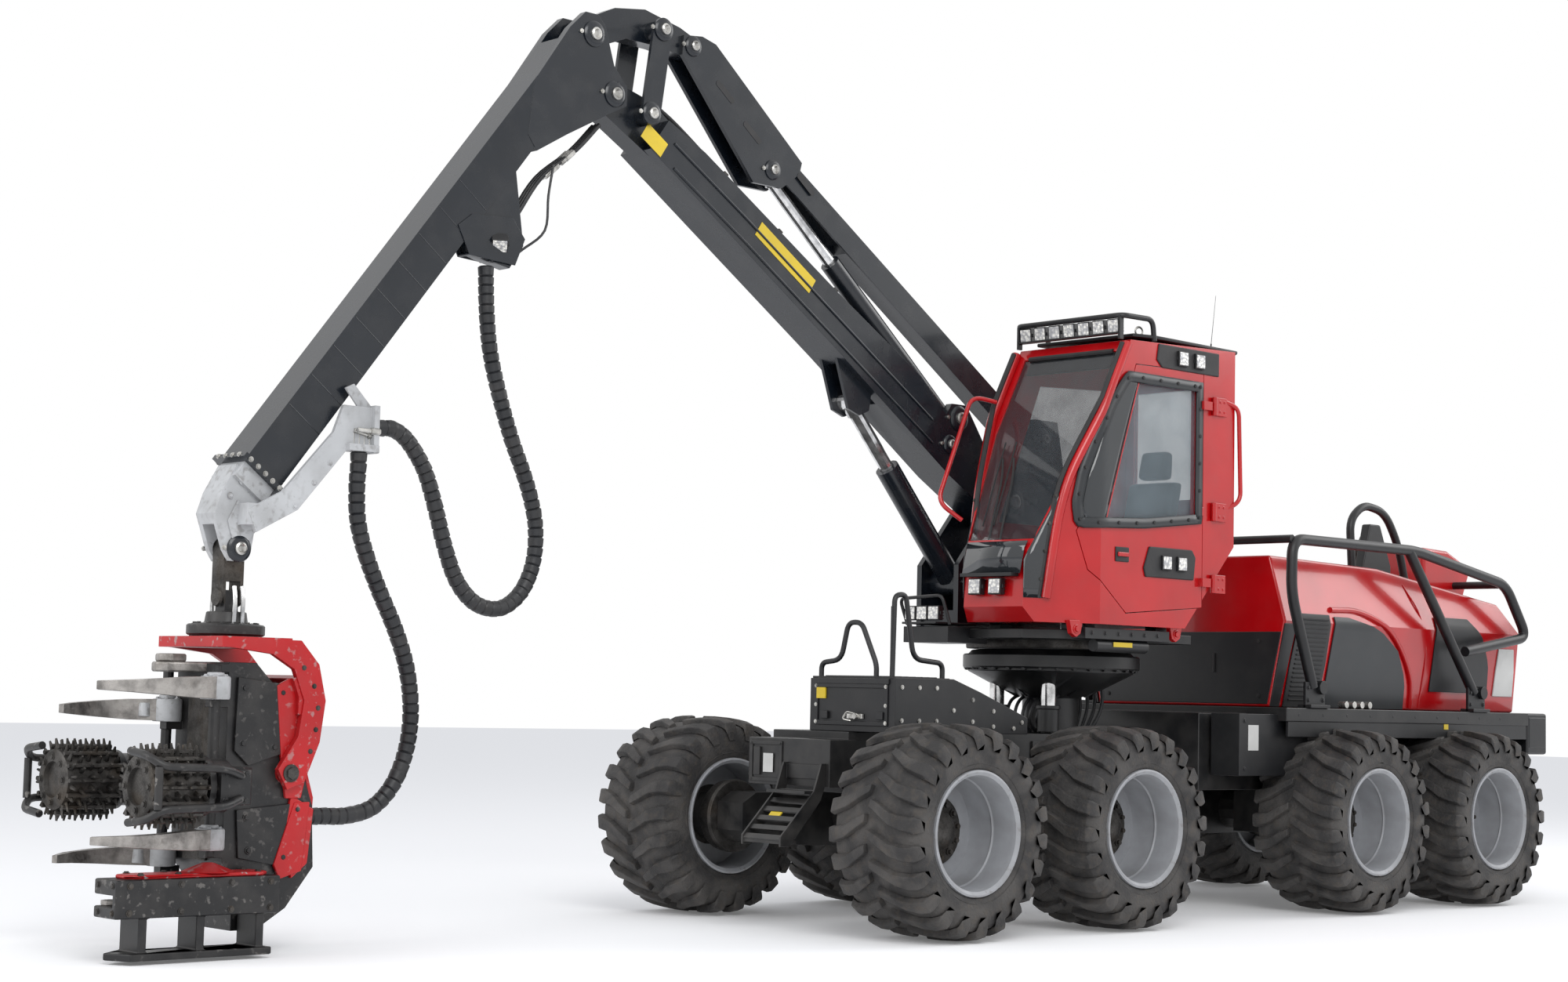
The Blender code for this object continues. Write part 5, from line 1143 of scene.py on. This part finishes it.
# ---------------------------------------------------------------- harvester head
def make_rollers():
    for side, sign in (("left", 1), ("right", -1)):
        y = CRANE_Y + sign * 0.46
        drum, spikes = Shape(), Shape()
        drum.turned([(0.0, -0.165), (0.15, -0.165), (0.165, -0.155), (0.165, 0.155), (0.15, 0.165),
                     (0.10, 0.165), (0.095, 0.14),
                     (0.0, 0.14)], (5.50, y, 0.92), (1, 0, 0), 40)
        drum.bolts([(5.665, y + 0.125 * cos(2 * pi * k / 8),
                     0.92 + 0.125 * sin(2 * pi * k / 8)) for k in range(8)], (1, 0, 0), 0.014, 0.012)
        for k in range(20):
            a = 2 * pi * k / 20
            for row in range(6):
                x = 5.355 + 0.055 * row
                b = a + (0.10 if row % 2 else 0)
                out = Vector((0, cos(b), sin(b)))
                base = Vector((x, y, 0.92)) + out * 0.155
                spikes.rod(base, base + out * 0.07 + Vector((0.010, 0, 0)), 0.017, 0.006, 6)
        for k in range(14):
            a = 2 * pi * k / 14
            out = Vector((0, cos(a), sin(a)))
            points = [Vector((x, y, 0.92)) + out * 0.185 for x in (5.34, 5.66)]
            spikes.rod(points[0], points[1], 0.013, sides=6)
        drum.made(f"roller_drum_{side}", "dark_steel", f"feed_roller_{side}", (f"feed_roller_{side}",))
        spikes.made(f"roller_spikes_{side}", "dark_steel", f"feed_roller_{side}")
        hoop = Shape()
        low, high = 0.92 - 0.235, 0.92 + 0.235
        outer = y + sign * 0.10
        path = [(5.16, outer + sign * 0.09, 0.98), (5.30, y + sign * 0.265, 1.02),
                (5.66, y + sign * 0.265, 1.03),
                (5.72, y + sign * 0.20, high - 0.07), (5.72, y + sign * 0.02, high - 0.05)]
        hoop.tube(rounded(path, 0.08), 0.022, 12)
        path = [(5.16, outer + sign * 0.09, 0.86), (5.30, y + sign * 0.265, 0.82),
                (5.66, y + sign * 0.265, 0.81),
                (5.72, y + sign * 0.20, low + 0.07), (5.72, y + sign * 0.02, low + 0.05)]
        hoop.tube(rounded(path, 0.08), 0.022, 12)
        hoop.tube([(5.68, y + sign * 0.252, 1.03), (5.68, y + sign * 0.252, 0.81)], 0.022, 12)
        hoop.made(f"roller_guard_{side}", "head_black", f"feed_arm_{side}")
        motor = Shape()
        motor.turned([(0.0, -0.16), (0.125, -0.16), (0.145, -0.14), (0.145, -0.03), (0.165, -0.02),
                      (0.165, 0.02), (0.0, 0.02)],
                     (5.305, y, 0.92), (1, 0, 0), 36)
        motor.bolts([(5.15, y + 0.10 * cos(2 * pi * k / 8),
                      0.92 + 0.10 * sin(2 * pi * k / 8)) for k in range(8)], (-1, 0, 0), 0.014, 0.014)
        motor.box((5.10, y + sign * 0.02, 0.83), (5.28, y + sign * 0.19, 1.01))
        motor.bolts([(5.13 + 0.12 * i, y + sign * 0.19, 0.85 + 0.14 * j) for i in (0, 1) for j in (0, 1)],
                    (0, sign, 0), 0.013, 0.010)
        motor.made(f"roller_motor_{side}", "head_black", f"feed_arm_{side}", bevel=0.010, segments=3)


def make_head_details():
    plates = Shape()
    for sign in (-1, 1):
        y = CRANE_Y + sign * 0.27
        plates.prism([(4.64, 1.46), (4.98, 1.50), (4.99, 1.10), (4.90, 1.02), (4.70, 1.08)], "Y", y - 0.004,
                     y + sign * 0.022)
        plates.prism([(4.52, 0.82), (4.96, 0.78), (4.94, 0.52), (4.62, 0.46)], "Y", y - 0.004,
                     y + sign * 0.018)
        for x, z in ((4.70, 1.42), (4.94, 1.44), (4.94, 1.14), (4.74, 1.12), (4.58, 0.78), (4.90, 0.74),
                     (4.88, 0.56), (4.66, 0.52)):
            plates.bolts([(x, y + sign * 0.020, z)], (0, sign, 0), 0.015, 0.012)
    plates.made("head_side_plates", "head_black", "head_frame", bevel=0.008, segments=3)
    red = Shape()
    red.prism([(4.47, 0.78), (4.62, 0.86), (4.66, 0.60), (4.60, 0.40), (4.50, 0.48)], "Y", CRANE_Y - 0.29,
              CRANE_Y + 0.29)
    red.prism([(4.46, 0.84), (4.455, 0.60), (4.44, 0.60), (4.43, 0.84), (4.50, 1.06), (4.52, 1.05)], "Y",
              CRANE_Y - 0.22, CRANE_Y + 0.22)
    for sign in (-1, 1):
        y = CRANE_Y + sign * 0.275
        red.prism([(4.52, 1.40), (4.66, 1.50), (4.74, 1.46), (4.70, 1.08), (4.66, 0.84), (4.56, 0.84),
                   (4.50, 1.10)], "Y", y - 0.002, y + sign * 0.022)
        red.prism([(4.50, 0.82), (4.60, 0.82), (4.72, 0.48), (4.68, 0.40), (4.54, 0.44)], "Y", y - 0.002,
                  y + sign * 0.022)
    red.made("head_red_covers", "red_head", "head_frame", bevel=0.010, segments=3)
    Shape().box((4.43, CRANE_Y - 0.16, 0.47), (4.475, CRANE_Y + 0.16, 0.62)).made("head_bumper", "seal",
            "head_frame", bevel=0.012)
    mid = Shape()
    for z in (0.66, 0.78, 1.10, 1.22):
        mid.rod((4.98, CRANE_Y - 0.20, z), (4.98, CRANE_Y + 0.20, z), 0.045, sides=24)
    mid.box((4.97, CRANE_Y - 0.12, 0.50), (5.045, CRANE_Y + 0.12, 1.50))
    for k in range(9):
        mid.rod((5.04, CRANE_Y - 0.09 + 0.022 * k, 0.60), (5.06, CRANE_Y - 0.09 + 0.022 * k, 0.60), 0.012,
                sides=10)
    mid.made("head_inner_works", "dark_steel", "head_frame", bevel=0.006)
    block = Shape()
    block.prism([(4.98, CRANE_Y - 0.13), (5.12, CRANE_Y - 0.15), (5.30, CRANE_Y - 0.09), (5.33, CRANE_Y),
                 (5.30, CRANE_Y + 0.09),
                 (5.12, CRANE_Y + 0.15), (4.98, CRANE_Y + 0.13)], "Z", 1.52, 1.575)
    block.prism([(5.18, CRANE_Y - 0.08), (5.28, CRANE_Y - 0.09), (5.31, CRANE_Y), (5.28, CRANE_Y + 0.09),
                 (5.18, CRANE_Y + 0.08)], "Z", 1.575, 1.62)
    block.made("fixed_top_knife", "steel", "head_frame", bevel=0.012, segments=3)
    lid = Shape()
    y0, y1 = CRANE_Y + 0.285, CRANE_Y + 0.485
    lid.prism([(4.86, y0), (5.62, y0), (5.70, y0 + 0.05), (5.70, y1 - 0.05), (5.60, y1), (4.90, y1),
               (4.84, y1 - 0.06)], "Z", 0.439, 0.462)
    lid.rod((5.18, (y0 + y1) / 2, 0.462), (5.18, (y0 + y1) / 2, 0.510), 0.15, 0.03, 6)
    lid.made("saw_lid", "red_head", "head_frame", bevel=0.012, segments=3)
    works = Shape()
    works.bolts([(x, y, 0.462) for x in (4.92, 5.16, 5.40, 5.62) for y in (y0 + 0.025, y1 - 0.025)],
                (0, 0, 1), 0.013, 0.010)
    works.bolts([(x, CRANE_Y + 0.50, z) for x in (4.86, 5.10, 5.40, 5.70) for z in (0.27, 0.41)], (0, 1, 0),
                0.013, 0.010)
    works.bolts([(SAW_FRONT, y, z) for y in (y0 + 0.03, y1 - 0.02) for z in (0.27, 0.41)], (1, 0, 0), 0.012,
                0.008)
    works.made("saw_box_bolts", "dark_steel", "head_frame")
    bracket = Shape()
    for sign in (-1, 1):
        y = CRANE_Y + sign * 0.341
        bracket.bolts([(4.66, y, 0.98)], (0, sign, 0), 0.034, 0.020)
        holes = [(4.50, 1.34), (4.51, 1.22), (4.54, 1.10), (4.53, 1.46), (4.60, 1.56)]
        bracket.bolts([(x, y, z) for x, z in holes], (0, sign, 0), 0.010, 0.004)
    bracket.made("bracket_bolts", "dark_steel", "head_bracket")
    brace = Shape()
    brace.prism([(4.60, 1.52), (4.56, 1.38), (4.58, 1.30), (4.62, 1.30), (4.62, 1.40), (4.66, 1.50)], "Y",
                CRANE_Y - 0.33, CRANE_Y + 0.33)
    brace.made("bracket_brace", "red_head", "head_bracket", bevel=0.006)
    hoses = Shape()
    for k, (y, z) in enumerate(((-0.12, 1.30), (-0.04, 1.34), (0.04, 1.34), (0.12, 1.30))):
        hoses.tube(smooth([(4.62, CRANE_Y + y, 0.98), (4.53, CRANE_Y + y, 1.10), (4.56, CRANE_Y + y, z),
                           (4.70, CRANE_Y + y * 1.2, 1.47)], 6), 0.014, 10)
    hoses.made("head_hoses", "hose", "head_frame")
    sleeve = Shape()
    sleeve.tube([(4.45, LOWER_Y, 0.735), (4.52, LOWER_Y, 0.735)], 0.060, 24)
    sleeve.made("head_hose_socket", "seal", "head_frame")


SAW_FRONT = 5.78


def make_knife_details():
    """Pin caps and the boss where each knife turns."""
    table = (("upper", "left", 1.38, 1.50), ("upper", "right", 1.25, 1.37), ("lower", "left", 0.57, 0.68),
             ("lower", "right", 0.455, 0.56))
    for level, side, low, high in table:
        sign = 1 if side == "left" else -1
        y = CRANE_Y + sign * 0.25
        shape = Shape()
        shape.turned([(0.040, low - 0.004), (0.078, low - 0.004), (0.082, low + 0.01), (0.082, high - 0.01),
                      (0.078, high + 0.002), (0.040, high + 0.002)],
                     (5.10, y, 0), (0, 0, 1), 32)
        middle = (low + high) / 2
        shape.turned([(0.0, 0.0), (0.05, 0.0), (0.045, 0.02), (0.0, 0.024)], (5.10, y, high + 0.002),
                     (0, 0, 1), 24)
        shape.bolts([(5.10 + 0.062 * cos(k), y + 0.062 * sin(k), high + 0.001) for k in range(6)], (0, 0, 1),
                    0.010, 0.012)
        for dx in (0.03, 0.11):
            shape.rod((5.12 + dx, y + sign * 0.02, middle - 0.038),
                      (5.12 + dx, y + sign * 0.02, middle + 0.038), 0.035, 0.03, 14)
        shape.made(f"{level}_knife_boss_{side}", "casting", f"{level}_knife_{side}", bevel=0.004)


# ---------------------------------------------------------------- front of the machine
def make_front_details():
    box = Shape()
    face = 0.82
    bordered(box, [(0.00, 1.29), (0.66, 1.29), (0.66, 1.56), (0.00, 1.56)], 0.03, face - 0.002, face + 0.010,
             "X")
    box.box((face - 0.01, 0.03, 1.555), (face + 0.014, 0.67, 1.592))
    for y in (0.60, 0.10):
        box.box((face + 0.004, y - 0.03, 1.33), (face + 0.022, y + 0.03, 1.38))
    box.made("toolbox_front", "satin", "front_chassis", bevel=0.004)
    latch = Shape()
    latch.box((face + 0.004, 0.31, 1.335), (face + 0.020, 0.45, 1.365))
    latch.rod((face + 0.018, 0.40, 1.35), (face + 0.045, 0.40, 1.35), 0.018)
    latch.tube(rounded([(face + 0.03, 0.42, 1.36), (face + 0.05, 0.34, 1.38), (face + 0.05, 0.30, 1.33),
                        (face + 0.03, 0.36, 1.32)], 0.02), 0.006, 8)
    latch.made("toolbox_latch", "zinc", "front_chassis", bevel=0.002)
    bolts = Shape()
    bolts.bolts([(face + 0.010, y, z) for y in (0.015, 0.645) for z in (1.31, 1.42, 1.54)], (1, 0, 0), 0.009,
                0.007)
    side = [(0.76, 1.33), (0.76, 1.54), (0.60, 1.33), (0.60, 1.54), (0.44, 1.33), (0.44, 1.54), (0.28, 1.40),
            (0.10, 1.33), (0.10, 1.47),
            (-0.10, 1.30), (-0.10, 1.40), (-0.30, 1.29), (-0.38, 1.33)]
    bolts.bolts([(x, 0.722, z) for x, z in side], (0, 1, 0), 0.010, 0.008)
    bolts.made("toolbox_bolts", "zinc", "front_chassis")
    Shape().box((face + 0.0005, 0.02, 1.46), (face + 0.0115, 0.10, 1.53)).made("toolbox_plate", "yellow",
            "front_chassis")
    lid = Shape()
    lid.box((0.30, -0.04, 1.590), (0.81, 0.70, 1.604))
    for k in range(7):
        lid.rod((0.36 + 0.065 * k, 0.02, 1.604), (0.36 + 0.065 * k, 0.64, 1.604), 0.006, sides=8)
    lid.made("toolbox_tread_lid", "satin", "front_chassis", bevel=0.003)

    nose = Shape()
    x = 1.12
    bordered(nose, [(-0.28, 0.92), (0.02, 0.92), (0.02, 1.18), (-0.28, 1.18)], 0.025, x - 0.002, x + 0.010,
             "X")
    nose.box((x - 0.005, -0.24, 0.96), (x + 0.016, -0.18, 1.14))
    nose.bolts([(x + 0.010, yy, zz) for yy in (-0.265, 0.005) for zz in (0.935, 1.165)], (1, 0, 0), 0.010,
               0.008)
    nose.made("nose_cover", "black", "front_chassis", bevel=0.004)
    Shape().box((x + 0.008, -0.15, 0.98), (x + 0.0115, -0.06, 1.10)).made("nose_plate", "white",
            "front_chassis")
    step = Shape()
    for k in range(6):
        z = 0.86 - 0.055 * k
        step.box((1.185 + 0.055 * k, 0.075, z), (1.225 + 0.055 * k, 0.405, z + 0.014),
                 Matrix.Rotation(radians(45), 4, "Y"))
    step.made("step_rungs", "black", "front_chassis", bevel=0.002)
    Shape().box((1.30, 0.15, 0.735), (1.36, 0.25, 0.742),
                Matrix.Rotation(radians(45), 4, "Y")).made("step_plate", "yellow", "front_chassis")

    rails = Shape()
    rails.tube(rounded([(0.79, 0.02, 1.592), (0.79, 0.02, 1.69), (0.79, 0.20, 1.71), (0.79, 0.26, 1.95),
                        (0.79, 0.38, 1.95),
                        (0.79, 0.52, 1.68), (0.79, 0.52, 1.592)], 0.07), 0.017, 14)
    rails.made("front_handrail_tube", "satin", "front_chassis", ("front_handrail",))
    rails = Shape()
    rails.tube(rounded([(0.79, 0.66, 1.592), (0.78, 0.66, 2.12), (0.68, 0.66, 2.13), (0.60, 0.66, 1.72),
                        (0.33, 0.66, 1.70),
                        (0.33, 0.66, 1.592)], 0.08), 0.017, 14)
    rails.box((0.775, 0.652, 1.592), (0.805, 0.668, 2.05))
    rails.made("side_handrail_tube", "satin", "front_chassis", ("side_handrail",), bevel=0.002)


def make_slew_details():
    ring = Shape()
    ring.turned([(0.53, 1.84), (0.60, 1.84), (0.605, 1.85), (0.605, 1.895), (0.60, 1.905), (0.53, 1.905)],
                (-1.5, 0, 0), (0, 0, 1), 80)
    ring.bolts([(-1.5 + 0.57 * cos(2 * pi * k / 40), 0.57 * sin(2 * pi * k / 40), 1.905) for k in range(40)],
               (0, 0, 1), 0.014, 0.012)
    ring.made("slew_ring", "dark_steel", "slew_platform")
    base = Shape()
    base.turned([(0.50, 1.70), (0.615, 1.70), (0.625, 1.71), (0.625, 1.79), (0.615, 1.80), (0.50, 1.80)],
                (-1.5, 0, 0), (0, 0, 1), 80)
    base.bolts([(-1.5 + 0.60 * cos(2 * pi * k / 32), 0.60 * sin(2 * pi * k / 32), 1.70) for k in range(32)],
               (0, 0, -1), 0.013, 0.014)
    for k in range(10):
        a = 2 * pi * k / 10
        out = Vector((cos(a), sin(a), 0))
        centre = Vector((-1.5, 0, 0))
        base.rod(centre + out * 0.25 + Vector((0, 0, 1.52)), centre + out * 0.56 + Vector((0, 0, 1.69)),
                 0.018, sides=8)
    base.made("slew_housing_rim", "black", "front_chassis", bevel=0.002)
    rams = Shape()
    for y in (0.24, -0.24):
        rams.rod((-1.20, y, 1.262), (-1.20, y, 1.42), 0.075, sides=32)
        rams.turned([(0.055, 1.42), (0.085, 1.42), (0.085, 1.445), (0.055, 1.445)], (-1.20, y, 0), (0, 0, 1),
                    32)
    rams.made("levelling_ram_barrels", "black", "front_chassis", bevel=0.004)
    rods = Shape()
    for y in (0.24, -0.24):
        rods.rod((-1.20, y, 1.44), (-1.20, y, 1.66), 0.052, sides=32)
    rods.made("levelling_ram_rods", "chrome", "front_chassis")
    hoses = Shape()
    for k in range(6):
        y = -0.10 + 0.045 * k
        hoses.tube(smooth([(-1.78, y, 1.26), (-1.84, y * 1.4, 1.42), (-1.82, y * 1.6, 1.58),
                           (-1.74, y * 1.2, 1.66)], 5), 0.014, 10)
        hoses.tube(smooth([(-1.30, y, 1.26), (-1.22, y * 1.5, 1.36), (-1.28, y * 1.7, 1.48),
                           (-1.42, y * 1.4, 1.54)], 5), 0.012, 10)
    hoses.made("slew_hoses", "hose", "front_chassis")
    frame_bits = Shape()
    for sign in (-1, 1):
        y = sign * 0.35
        frame_bits.prism([(-1.9, 0.90), (-0.95, 0.90), (-0.90, 1.0), (-0.90, 1.20), (-1.9, 1.20)], "Y",
                         y - 0.01, y + sign * 0.015)
        frame_bits.bolts([(x, y + sign * 0.015, z) for x in (-1.8, -1.4, -1.0) for z in (0.94, 1.16)],
                         (0, sign, 0), 0.016, 0.012)
    frame_bits.made("front_frame_plates", "black", "front_chassis", bevel=0.004)


# ---------------------------------------------------------------- rear of the machine
def hood_side(z):
    """Half the bonnet's width at a height."""
    if z < 2.10:
        return 0.80 + 0.13 * (z - 1.47) / 0.63
    return 0.93 - 0.15 * (z - 2.10) / 0.50


def side_skin(outline, lift, rows=10):
    """Points of a panel that hugs the bonnet's left side: outline is (front x, rear x) by height."""
    result = []
    for k in range(rows + 1):
        t = k / rows
        index = t * (len(outline) - 1)
        i = min(int(index), len(outline) - 2)
        f = index - i
        x0 = outline[i][0] * (1 - f) + outline[i + 1][0] * f
        x1 = outline[i][1] * (1 - f) + outline[i + 1][1] * f
        z = outline[i][2] * (1 - f) + outline[i + 1][2] * f
        result.append([(x0 + (x1 - x0) * j / 8, hood_side(z) + lift, z) for j in range(9)])
    return result


def mirrored(rows):
    return [[(x, -y, z) for x, y, z in row] for row in rows]


HOOD_PANELS = (             # name, finish, (front x, rear x, height) rows, how far it stands out
    ("hood_front_black", "satin", ((-2.995, -3.10, 1.475), (-2.995, -3.12, 1.80), (-2.998, -3.14, 2.08)),
     0.006),
    ("hood_louvre_panel", "satin", ((-3.14, -3.56, 1.475), (-3.14, -3.58, 1.80), (-3.16, -3.56, 2.16)),
     0.008),
    ("hood_arch_panel", "plate_grey", ((-3.62, -4.70, 1.475), (-3.62, -4.66, 1.70), (-3.62, -4.50, 1.92),
                                       (-3.62, -4.20, 2.08), (-3.62, -3.80, 2.15)), 0.008),
    ("hood_rear_black", "satin", ((-5.02, -5.85, 1.62), (-5.00, -5.80, 1.85), (-4.98, -5.66, 2.05),
                                  (-4.98, -5.45, 2.20)), 0.008),
    ("hood_tail_panel", "white", ((-5.95, -6.24, 1.60), (-5.93, -6.20, 1.80), (-5.92, -6.14, 1.98)), 0.006),
)


def make_hood_details():
    for name, finish, outline, lift in HOOD_PANELS:
        rows = side_skin(outline, lift)
        Shape().grid(rows).made(f"{name}_left", finish, "rear_chassis", thickness=0.012, bevel=0.004)
        Shape().grid(mirrored(rows)).made(f"{name}_right", finish, "rear_chassis", thickness=0.012,
                                          bevel=0.004)
    louvres = Shape()
    for sign in (-1, 1):
        for k in range(19):
            z = 1.52 + 0.033 * k
            y = sign * (hood_side(z) + 0.016)
            louvres.box((-3.53, y - 0.006, z), (-3.19, y + 0.006, z + 0.014),
                        Matrix.Rotation(radians(-25 * sign), 4, "X"))
    louvres.made("hood_louvres", "seal", "rear_chassis", bevel=0.002)
    arch = Shape()
    for sign in (-1, 1):
        line = [(-3.60, 2.20), (-3.95, 2.20), (-4.28, 2.10), (-4.55, 1.92), (-4.74, 1.70), (-4.80, 1.49)]
        arch.tube(smooth([(x, sign * (hood_side(z) + 0.004), z) for x, z in line], 6), 0.022, 12)
        seam = [(-4.92, 1.49), (-4.90, 1.90), (-4.80, 2.20), (-4.66, 2.44)]
        arch.tube(smooth([(x, sign * (hood_side(z) + 0.001), z) for x, z in seam], 6), 0.006, 8)
    arch.made("hood_arch_band", "red", "rear_chassis")
    front = Shape()
    front.prism([(-0.78, 1.49), (0.78, 1.49), (0.90, 2.02), (-0.90, 2.02)], "X", -3.008, -2.996)
    front.made("hood_front_plate", "satin", "rear_chassis", bevel=0.006)
    bits = Shape()
    bits.tube([(-2.985, 0.30, 1.72), (-2.985, 0.30, 1.86)], 0.006, 8)
    bits.bolts([(-2.996, y, z) for y in (-0.7, 0.7) for z in (1.55, 1.95)], (1, 0, 0), 0.012, 0.010)
    bits.made("hood_front_bits", "seal", "rear_chassis")
    top = Shape()
    for k in range(5):
        x = -3.35 - 0.19 * k
        top.box((x, -0.45, 2.556), (x + 0.12, 0.45, 2.580))
    top.made("hood_top_grille", "seal", "rear_chassis", bevel=0.006)
    hoop = Shape()
    hoop.tube(rounded([(-4.47, 0.50, 2.56), (-4.44, 0.50, 2.94), (-4.62, 0.50, 3.07), (-4.92, 0.50, 3.03),
                       (-5.12, 0.50, 2.76),
                       (-5.22, 0.50, 2.44)], 0.16), 0.032, 16)
    hoop.made("exhaust_hoop", "satin", "rear_chassis")
    pipe = Shape().rod((-4.80, 0.36, 2.45), (-4.80, 0.36, 2.74), 0.055, sides=28).rod((-4.80, 0.36, 2.72),
            (-4.86, 0.36, 2.82), 0.05, 0.045)
    pipe.made("exhaust_pipe", "dark_steel", "rear_chassis")


def make_rail_and_deck():
    for side, sign in (("left", 1), ("right", -1)):
        y = sign * RAIL_Y
        rail = Shape()
        rail.tube(rounded([(-3.22, y, 1.62), (-2.95, y, 2.30), (-2.96, y, 2.69), (-4.55, y, 2.69),
                           (-5.84, y, 2.49), (-6.16, y, 2.08),
                           (-5.25, y, 1.94)], 0.13, 8), 0.040, 20)
        rail.tube([(-4.46, y, 2.69), (-5.37, y, 1.62)], 0.040, 20)
        rail.made(f"guard_rail_tube_{side}", "satin", "rear_chassis", (f"guard_rail_{side}",))
        feet = Shape()
        for x in (-3.24, -5.40):
            feet.box((x - 0.12, y - 0.012, DECK_TOP), (x + 0.12, y + 0.012, 1.66))
            feet.box((x - 0.12, y - 0.06, DECK_TOP), (x + 0.12, y + 0.06, 1.495))
            feet.rod((x - 0.06, y - 0.045, 1.62), (x - 0.06, y + 0.045, 1.62), 0.05, sides=24)
            feet.bolts([(x + dx, y + sign * 0.012, z) for dx in (-0.09, 0.09) for z in (1.53, 1.62)],
                       (0, sign, 0), 0.014, 0.012)
        feet.made(f"guard_rail_feet_{side}", "satin", "rear_chassis", bevel=0.005)
        skirt = Shape()
        skirt.box((-6.10, sign * 1.04 - 0.012, 1.26), (-2.88, sign * 1.04 + 0.012, DECK_TOP - 0.004))
        skirt.box((-3.30, sign * 0.88 - 0.15, 0.98), (-2.40, sign * 0.88 + 0.10, 1.42))
        skirt.bolts([(-3.0 - 0.3 * k, sign * 1.052, 1.42) for k in range(10)], (0, sign, 0), 0.013, 0.010)
        skirt.bolts([(x, sign * 0.98, z) for x in (-2.46, -3.24) for z in (1.03, 1.37)], (0, sign, 0), 0.013,
                    0.010)
        skirt.made(f"deck_skirt_{side}", "satin", "rear_chassis", bevel=0.008)
    spouts = Shape()
    for k in range(4):
        spouts.rod((-3.62 - 0.10 * k, 0.98, 1.50), (-3.62 - 0.10 * k, 1.045, 1.50), 0.026, sides=16)
    spouts.made("deck_couplers", "zinc", "rear_chassis", bevel=0.003)
    Shape().box((-2.62, 0.981, 1.16), (-2.50, 0.984, 1.34)).made("tank_plate", "white", "rear_chassis")
    Shape().box((-4.96, 1.053, 1.33), (-4.90, 1.055, 1.40)).made("deck_plate", "yellow", "rear_chassis")
    rear = Shape()
    rear.box((-6.40, -1.02, 1.19), (-6.14, 1.054, 1.44))
    for y in (-0.75, -0.25, 0.25, 0.75):
        rear.rod((-6.425, y, 1.30), (-6.40, y, 1.30), 0.05, sides=24)
    rear.made("bumper_skin", "satin", "rear_chassis", bevel=0.02, segments=3)
    cross = Shape()
    cross.tube(rounded([(-2.96, -RAIL_Y, 2.69), (-2.96, RAIL_Y, 2.69)], 0.02), 0.030, 16)
    cross.tube([(-5.84, -RAIL_Y, 2.49), (-5.84, RAIL_Y, 2.49)], 0.030, 16)
    cross.made("guard_rail_cross_tubes", "satin", "rear_chassis")


def make_axle_details():
    for name, centre, body in (("front", 0.0, "front_chassis"), ("rear", -4.273, "rear_chassis")):
        shape = Shape()
        for sign in (-1, 1):
            for x in (centre - BOGIE_HALF, centre + BOGIE_HALF):
                y = sign * 0.752
                shape.turned([(0.10, 0.0), (0.235, 0.0), (0.245, 0.02), (0.235, 0.10), (0.19, 0.16),
                              (0.10, 0.16)], (x, y, WHEEL_Z), (0, sign, 0), 40)
                shape.bolts([(x + 0.215 * cos(2 * pi * k / 14), sign * 0.85,
                              WHEEL_Z + 0.215 * sin(2 * pi * k / 14)) for k in range(14)],
                            (0, sign, 0), 0.014, 0.012)
            shape.turned([(0.0, 0.0), (0.20, 0.0), (0.19, 0.035), (0.0, 0.05)],
                         (centre, sign * 0.742, WHEEL_Z), (0, sign, 0), 36)
        shape.made(f"{name}_hub_cases", "dark_steel", body, bevel=0.003)


make_camera()
make_hoses()
make_stage()
make_wheels()
finish_nodes()
make_cab_lamps()
make_cab_skin()
make_seat()
make_pin_heads()
make_boom_details()
make_extension_details()
make_link_details()
make_rollers()
make_head_details()
make_knife_details()
make_front_details()
make_slew_details()
make_hood_details()
make_rail_and_deck()
make_axle_details()

to_lists = lambda box: [[float(c) for c in corner] for corner in box]
{"cad": to_lists(cad_box), "visual": to_lists(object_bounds())}
